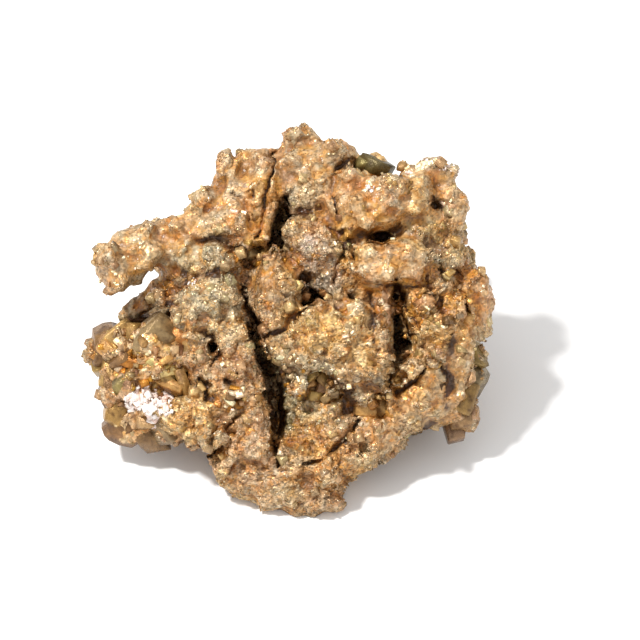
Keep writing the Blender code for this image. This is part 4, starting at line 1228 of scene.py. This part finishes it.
def glassy_pyrite():
    """Tint times a marbled film, whose noise also sets the gloss and the shallow pits."""
    material, tree, (place, tint) = new_material("glassy_pyrite_faces", colours=("tint",))
    own = add_node(tree, "ShaderNodeAttribute", {"attribute_name": "own_place"}).outputs["Vector"]
    film = add_node(
        tree, "ShaderNodeTexNoise",
        inputs={"Vector": place, "Scale": PER_METRE / FILM_PATCH, "Detail": 6.0, "Roughness": 0.65},
    )
    marbling = add_node(
        tree, "ShaderNodeValToRGB", inputs={"Fac": film.outputs["Fac"]}, stops=FILM_LIGHT
    )
    colour = add_node(
        tree, "ShaderNodeMix", {"data_type": "RGBA", "blend_type": "MULTIPLY"},
        {"Factor": 1.0, "A": tint, "B": marbling.outputs["Color"]},
    )
    gloss = add_node(
        tree, "ShaderNodeMapRange", inputs={
            "Value": film.outputs["Fac"], "From Min": 0.35, "From Max": 0.65,
            "To Min": 0.38, "To Max": 0.16,
        },
    )
    lines = add_node(
        tree, "ShaderNodeTexWave", {"wave_type": "BANDS", "bands_direction": "X"},
        {"Vector": own, "Scale": LINES_SCALE, "Distortion": 2.5, "Detail": 2.0, "Detail Scale": 1.5},
    )
    low = add_node(
        tree, "ShaderNodeBump",
        inputs={"Height": lines.outputs["Fac"], "Strength": 0.35, "Distance": LINE_DEPTH * MM},
    )
    pits = add_node(
        tree, "ShaderNodeBump", inputs={
            "Height": film.outputs["Fac"], "Strength": 0.7, "Distance": PIT_DEPTH * MM,
            "Normal": low.outputs["Normal"],
        },
    )
    return finished(material, {
        "Base Color": colour.outputs[2], "Metallic": 0.45,
        "Roughness": gloss.outputs["Result"], "Normal": pits.outputs["Normal"],
    })


crystals.data.materials.append(glassy_pyrite())
bright = bright_crystals()
bright.data.materials.append(crystals.data.materials[0])

# %% [markdown]
# ## Blocky crystals all over
#
# Between the large crystals and the druse there is a middle size: blocks one to three millimetres
# across that lie nearly flush, each showing a face and an edge or two. They give the rods their
# flat glints and small ledges. A few grown shapes are enough, because every copy is turned and cut
# differently by the surface that it sits in.

# %% Scatter the blocks
BLOCK_SHAPES = 10
BLOCK_COUNT = 3600
BLOCK_RADII = (0.5, 1.35)  # mm
BLOCK_SUNK = (0.66, 0.86)  # how far a block's middle lies below the skin, in radii


def scatter_points(rng, count, weight):
    """Random places on the skin: triangles drawn by area times weight, then a random spot on each."""
    corners = rock_points[skin_faces]
    cross = np.cross(corners[:, 1] - corners[:, 0], corners[:, 2] - corners[:, 0])
    area = np.linalg.norm(cross, axis=1) / 2 * weight[skin_faces].mean(axis=1)
    drawn = rng.choice(len(area), count, p=area / area.sum())
    u, v = rng.uniform(0, 1, (2, count, 1))
    u, v = np.where(u + v > 1, 1 - u, u), np.where(u + v > 1, 1 - v, v)
    a, b, c = (corners[drawn, corner] for corner in range(3))
    places = a + u * (b - a) + v * (c - a)
    directions = rock_normals[skin_faces[drawn]].sum(axis=1)
    directions /= np.linalg.norm(directions, axis=1)[:, None]
    first = skin_faces[drawn, 0]
    # The last two values are the hollow depth and the painted light and shade at each place.
    return places, directions, hollow[first], painted_light_and_shade[first]


def blocky_crystals():
    """Grown shapes on random places of the skin, fewer where it is flaky, knobbly or hollow."""
    rng = np.random.default_rng(21)
    weight = (1.0 - 0.5 * flaky) * (1.05 - hollow)
    weight *= 1 - 0.75 * knobbly
    weight *= (rock_points[:, 2] > 2.0) * openness * (1 - smoothstep(0.72, 1.0, cleft_near))
    seats, directions, depth, lit = scatter_points(rng, BLOCK_COUNT, weight)
    turns = frames_about(directions, rng, 28)
    tints = weathered_and_shaded(tint_at(seats, to_display(seats)), seats, depth, lit)
    heap = Heap()
    grown = [grown_crystal(rng, rng.uniform(0.7, 1.0)) for _ in range(BLOCK_SHAPES)]
    for number, (seat, out, turn, tint) in enumerate(zip(seats, directions, turns, tints)):
        shape, faces = grown[number % BLOCK_SHAPES]
        radius = BLOCK_RADII[0] + (BLOCK_RADII[1] - BLOCK_RADII[0]) * rng.uniform() ** 2
        middle = seat - out * radius * rng.uniform(*BLOCK_SUNK)
        points = middle + shape @ turn.T * radius
        points[:, 2] = np.maximum(points[:, 2], 0.05)
        heap.add(points, faces, tint=shaded(tint, rng, 0.16), own_place=shape * radius)
    return heap.piece("blocky_crystals")


blocks = blocky_crystals()
blocks.data.materials.append(crystals.data.materials[0])

# %% [markdown]
# ## The druse
#
# Each druse crystal shows one corner of a cube: three faces that meet at right angles. A small
# pyramid with three sides and a base is that corner. Tens of thousands of them are scattered over
# the skin, more on high ground, each spun and tipped at random, so that some facets always catch
# the lamp. Smooth, knobbly and flaky stretches get fewer.

# %% Druse sizes
DRUSE_KINDS = (
    # name, crystals, smallest and largest edge in mm, lightness, most tilt in degrees
    ("rusty_druse", 26000, 0.32, 0.65, (0.52, 1.18), 26),
    ("golden_druse", 30000, 0.26, 0.62, (0.65, 1.40), 36),
    ("fine_druse", 36000, 0.22, 0.46, (0.48, 1.30), 36),
)
CORNER_HEIGHT = 1 / math.sqrt(3)  # of a cube's corner over the triangle through its neighbours
CORNER_RADIUS = math.sqrt(2 / 3)  # of that triangle
DRUSE_SUNK = 0.62  # how much of its height a crystal sits below the skin


def corner_pyramid():
    """Apex and three base corners, and four triangles that face out."""
    angles = np.radians([90, 210, 330])
    base = np.stack([np.cos(angles), np.sin(angles), np.zeros(3)], axis=1) * CORNER_RADIUS
    points = np.vstack([[0, 0, CORNER_HEIGHT], base])
    faces = np.array([[0, 1, 2], [0, 2, 3], [0, 3, 1], [1, 3, 2]])
    return points - [0, 0, DRUSE_SUNK * CORNER_HEIGHT], faces


def druse(name, count, smallest, largest, lightness, most_tilt, seed):
    """One kind of druse: pyramids on random places, drawn by weight, each with a tint and a shine."""
    rng = np.random.default_rng(seed)
    weight = (1.05 - 0.95 * smooth) * (1.1 - 0.7 * hollow)
    weight *= 1 - 0.78 * knobbly
    weight *= 1 - 0.65 * flaky
    weight *= (rock_points[:, 2] > 0.8) * openness * (1 - smoothstep(0.72, 1.0, cleft_near))
    # Druse grows in patches, and the side that lay against other rock has less of it.
    weight *= 0.25 + smoothstep(-0.3, 0.5, soft_noise(rock_points, 3.4, 400 + seed))
    weight *= 0.55 + 0.45 * smoothstep(-0.3, 0.3, rock_normals @ OUT)
    seats, directions, depth, lit = scatter_points(rng, count, weight)
    size = smallest + (largest - smallest) * rng.uniform(0, 1, count) ** 2
    shape, faces = corner_pyramid()
    turned = np.einsum("nij,pj->npi", frames_about(directions, rng, most_tilt), shape)
    points = seats[:, None] + turned * size[:, None, None]
    points[..., 2] = np.maximum(points[..., 2], 0.02)
    faces = faces[None] + 4 * np.arange(count)[:, None, None]
    tint = weathered_and_shaded(tint_at(seats, to_display(seats)), seats, depth, lit)
    low, high = lightness
    tint = tint * rng.uniform(low, high, (count, 1)) * rng.uniform(0.93, 1.07, (count, 3))
    shine = rng.uniform(0, 1, count) * (1 - 0.4 * depth)
    tint += (PALE - tint) * (0.85 * smoothstep(0.7, 1.0, shine))[:, None]
    return new_piece(
        name, points.reshape(-1, 3), faces.reshape(-1, 3),
        {"tint": np.repeat(np.clip(tint, 0, 1), 4, axis=0), "shine": np.repeat(shine, 4)},
    )


druse_pieces = [druse(*kind, seed=31 + n) for n, kind in enumerate(DRUSE_KINDS)]

# %% [markdown]
# ## The druse's finish
#
# Clean grains are polished metal-like facets, and rusty ones are dull. Each grain keeps one number
# for its shine. Above a level that depends on the kind of druse a grain is bare sulphide, and the
# higher the number the smoother its faces.


# %% Druse facets
ETCH_PIT, ETCH_DEPTH = 0.3, 0.06  # mm


def druse_facets(name, bare_from, roughest, smoothest):
    """The tint as it is, bare above one level of shine, smoother with more shine, lightly etched."""
    material, tree, (place, tint, shine) = new_material(name, ("shine",), ("tint",))
    bare = add_node(
        tree, "ShaderNodeMapRange", inputs={
            "Value": shine, "From Min": bare_from, "From Max": bare_from + 0.15, "To Max": 0.95,
        },
    )
    gloss = add_node(
        tree, "ShaderNodeMapRange",
        inputs={"Value": shine, "To Min": roughest, "To Max": smoothest},
    )
    etched = add_node(
        tree, "ShaderNodeTexNoise",
        inputs={"Vector": place, "Scale": PER_METRE / ETCH_PIT, "Detail": 2.0},
    )
    bump = add_node(
        tree, "ShaderNodeBump",
        inputs={"Height": etched.outputs["Fac"], "Strength": 0.3, "Distance": ETCH_DEPTH * MM},
    )
    return finished(material, {
        "Base Color": tint, "Metallic": bare.outputs["Result"],
        "Roughness": gloss.outputs["Result"], "Normal": bump.outputs["Normal"],
    })


DRUSE_FINISHES = (  # name, shine from which a grain is bare, greatest and least roughness
    ("rusty_pyrite_druse", 0.75, 0.62, 0.34),
    ("golden_pyrite_druse", 0.15, 0.42, 0.16),
    ("fine_pyrite_druse", 0.35, 0.50, 0.20),
)
for piece, finish in zip(druse_pieces, DRUSE_FINISHES):
    piece.data.materials.append(druse_facets(*finish))

# %% [markdown]
# ## A crust of white mineral
#
# On the left flank a white to pale pink mineral, such as calcite or dolomite, grew over the pyrite.
# It is a patch of tiny blades and blocks, dense in the middle and open towards its ragged rim.

# %% White crust
CRUST_PATCHES = (  # (across, up, radius) in mm on the display side, and number of blades
    ((-29, -15.4, 2.6), 70), ((-31.2, -16.4, 1.9), 44), ((-27, -17.4, 2.2), 50),
    ((-24.6, -15.6, 1.5), 26), ((-27.6, -20.2, 1.3), 26), ((-24.4, -17.8, 1.1), 14),
    ((27, 30.8, 1.7), 7), ((30.4, 31.4, 1.7), 7), ((24.2, 29.4, 1.3), 4), ((33, 30, 1.2), 4),
    ((16, 26.2, 1), 9), ((-20, 7.4, 1.4), 10),
)
WHITE = linear("#f4ece6")
PINK = linear("#e6c6b6")
CALCITE_IOR = 1.6
MAIN_PATCH = -22  # mm across: patches further right are specks of smaller blades
BLADE_TURNS = 400


def white_crust():
    """Blades on random points of each patch, smaller towards its rim, white to pale pink."""
    rng = np.random.default_rng(5)
    heap = Heap()
    turns = random_turns(rng, BLADE_TURNS)
    for zone, count in CRUST_PATCHES:
        gap = np.linalg.norm(rock_places[:, :2] - zone[:2], axis=1)
        patch_size = 0.6 if zone[0] > MAIN_PATCH else 1.0
        for seat in rng.choice(display_seats(zone), count):
            shape, faces = grown_crystal(rng, 1.0)
            shape = shape * [1.0, 0.8, rng.uniform(0.25, 0.6)]
            radius = rng.uniform(0.5, 1.25) * (1.15 - 0.6 * gap[seat] / zone[2]) * patch_size
            middle = rock_points[seat] + 0.2 * rock_normals[seat]
            points = middle + shape @ turns[seat % BLADE_TURNS].T * radius
            heap.add(points, faces, tint=WHITE + (PINK - WHITE) * rng.uniform() ** 2)
    return heap.piece("white_crust")


def chalky_white():
    """The blades' own tint with the low gloss of calcite."""
    material, _, (_, tint) = new_material("white_calcite_crust", colours=("tint",))
    return finished(material, {"Base Color": tint, "Roughness": 0.35, "IOR": CALCITE_IOR})


crust = white_crust()
crust.data.materials.append(chalky_white())

# %% [markdown]
# ## Stage, light and camera
#
# One small lamp stands in for the sun: it shines on the display side from its upper left and front,
# so that shadows fall to the lower right and into the gaps. A pale surround fills them a little.

# %% Stage
FLOOR_HALF = 3.0  # m
LOOK_AT = np.array([6.0, 0.0, 28.0])  # model mm
FRAME_WIDTH = 128.0  # mm across the frame at the cluster
CAMERA_LENS = 280.0  # mm, long, so that near and far parts keep their sizes
SENSOR_WIDTH = 36.0  # mm
KEY_FROM = (-0.54, 0.74, 0.88)  # across, up, out
KEY_DISTANCE, KEY_SIZE, KEY_POWER = 1.1, 0.12, 13.2  # m, m, W
KEY_TINT = (1.0, 0.985, 0.965)  # linear, a little warmer than white
SURROUND = 0.86  # strength of the pale light from all round
CARD_WHITE = 0.93  # linear, of the floor


def point_at(obj, place, target):
    """Put a lamp or camera at a place and turn it to look at a target."""
    obj.location = place
    obj.rotation_mode = "QUATERNION"
    obj.rotation_quaternion = (target - place).to_track_quat("-Z", "Y")


def build_stage():
    """A floor, an even surround, one lamp, and a camera that looks straight at the display side."""
    corners = np.array([[-1, -1, 0], [1, -1, 0], [1, 1, 0], [-1, 1, 0]]) * FLOOR_HALF
    mesh = bpy.data.meshes.new("floor")
    mesh.from_pydata(corners.tolist(), [], [(0, 1, 2, 3)])
    floor = in_scene("floor", mesh)
    card = (CARD_WHITE, CARD_WHITE, CARD_WHITE, 1)
    mesh.materials.append(finished(
        new_material("white_card")[0],
        {"Base Color": card, "Roughness": 0.9, "Specular IOR Level": 0.0},
    ))

    world = bpy.data.worlds.new("surround")
    world.use_nodes = True
    bpy.context.scene.world = world
    surround = {"Color": (1.0, 1.0, 1.0, 1), "Strength": SURROUND}
    set_inputs(world.node_tree, world.node_tree.nodes["Background"], surround)

    target = Vector(LOOK_AT * MM)
    towards = Vector(np.array(KEY_FROM) @ np.array([ACROSS, UP, OUT])).normalized()
    lamp = bpy.data.lights.new("key", "AREA")
    lamp.shape = "DISK"
    lamp.size = KEY_SIZE
    lamp.energy = KEY_POWER
    lamp.color = KEY_TINT
    point_at(in_scene("key", lamp), target + towards * KEY_DISTANCE, target)

    lens = bpy.data.cameras.new("camera")
    lens.lens = CAMERA_LENS
    lens.sensor_width = SENSOR_WIDTH
    lens.clip_start = 0.01
    camera = in_scene("camera", lens)
    distance = FRAME_WIDTH * MM * CAMERA_LENS / SENSOR_WIDTH
    point_at(camera, target + Vector(OUT) * distance, target)
    bpy.context.scene.camera = camera
    bpy.context.scene.view_settings.view_transform = "Standard"
    print("camera", round(distance, 3), "m away")


build_stage()
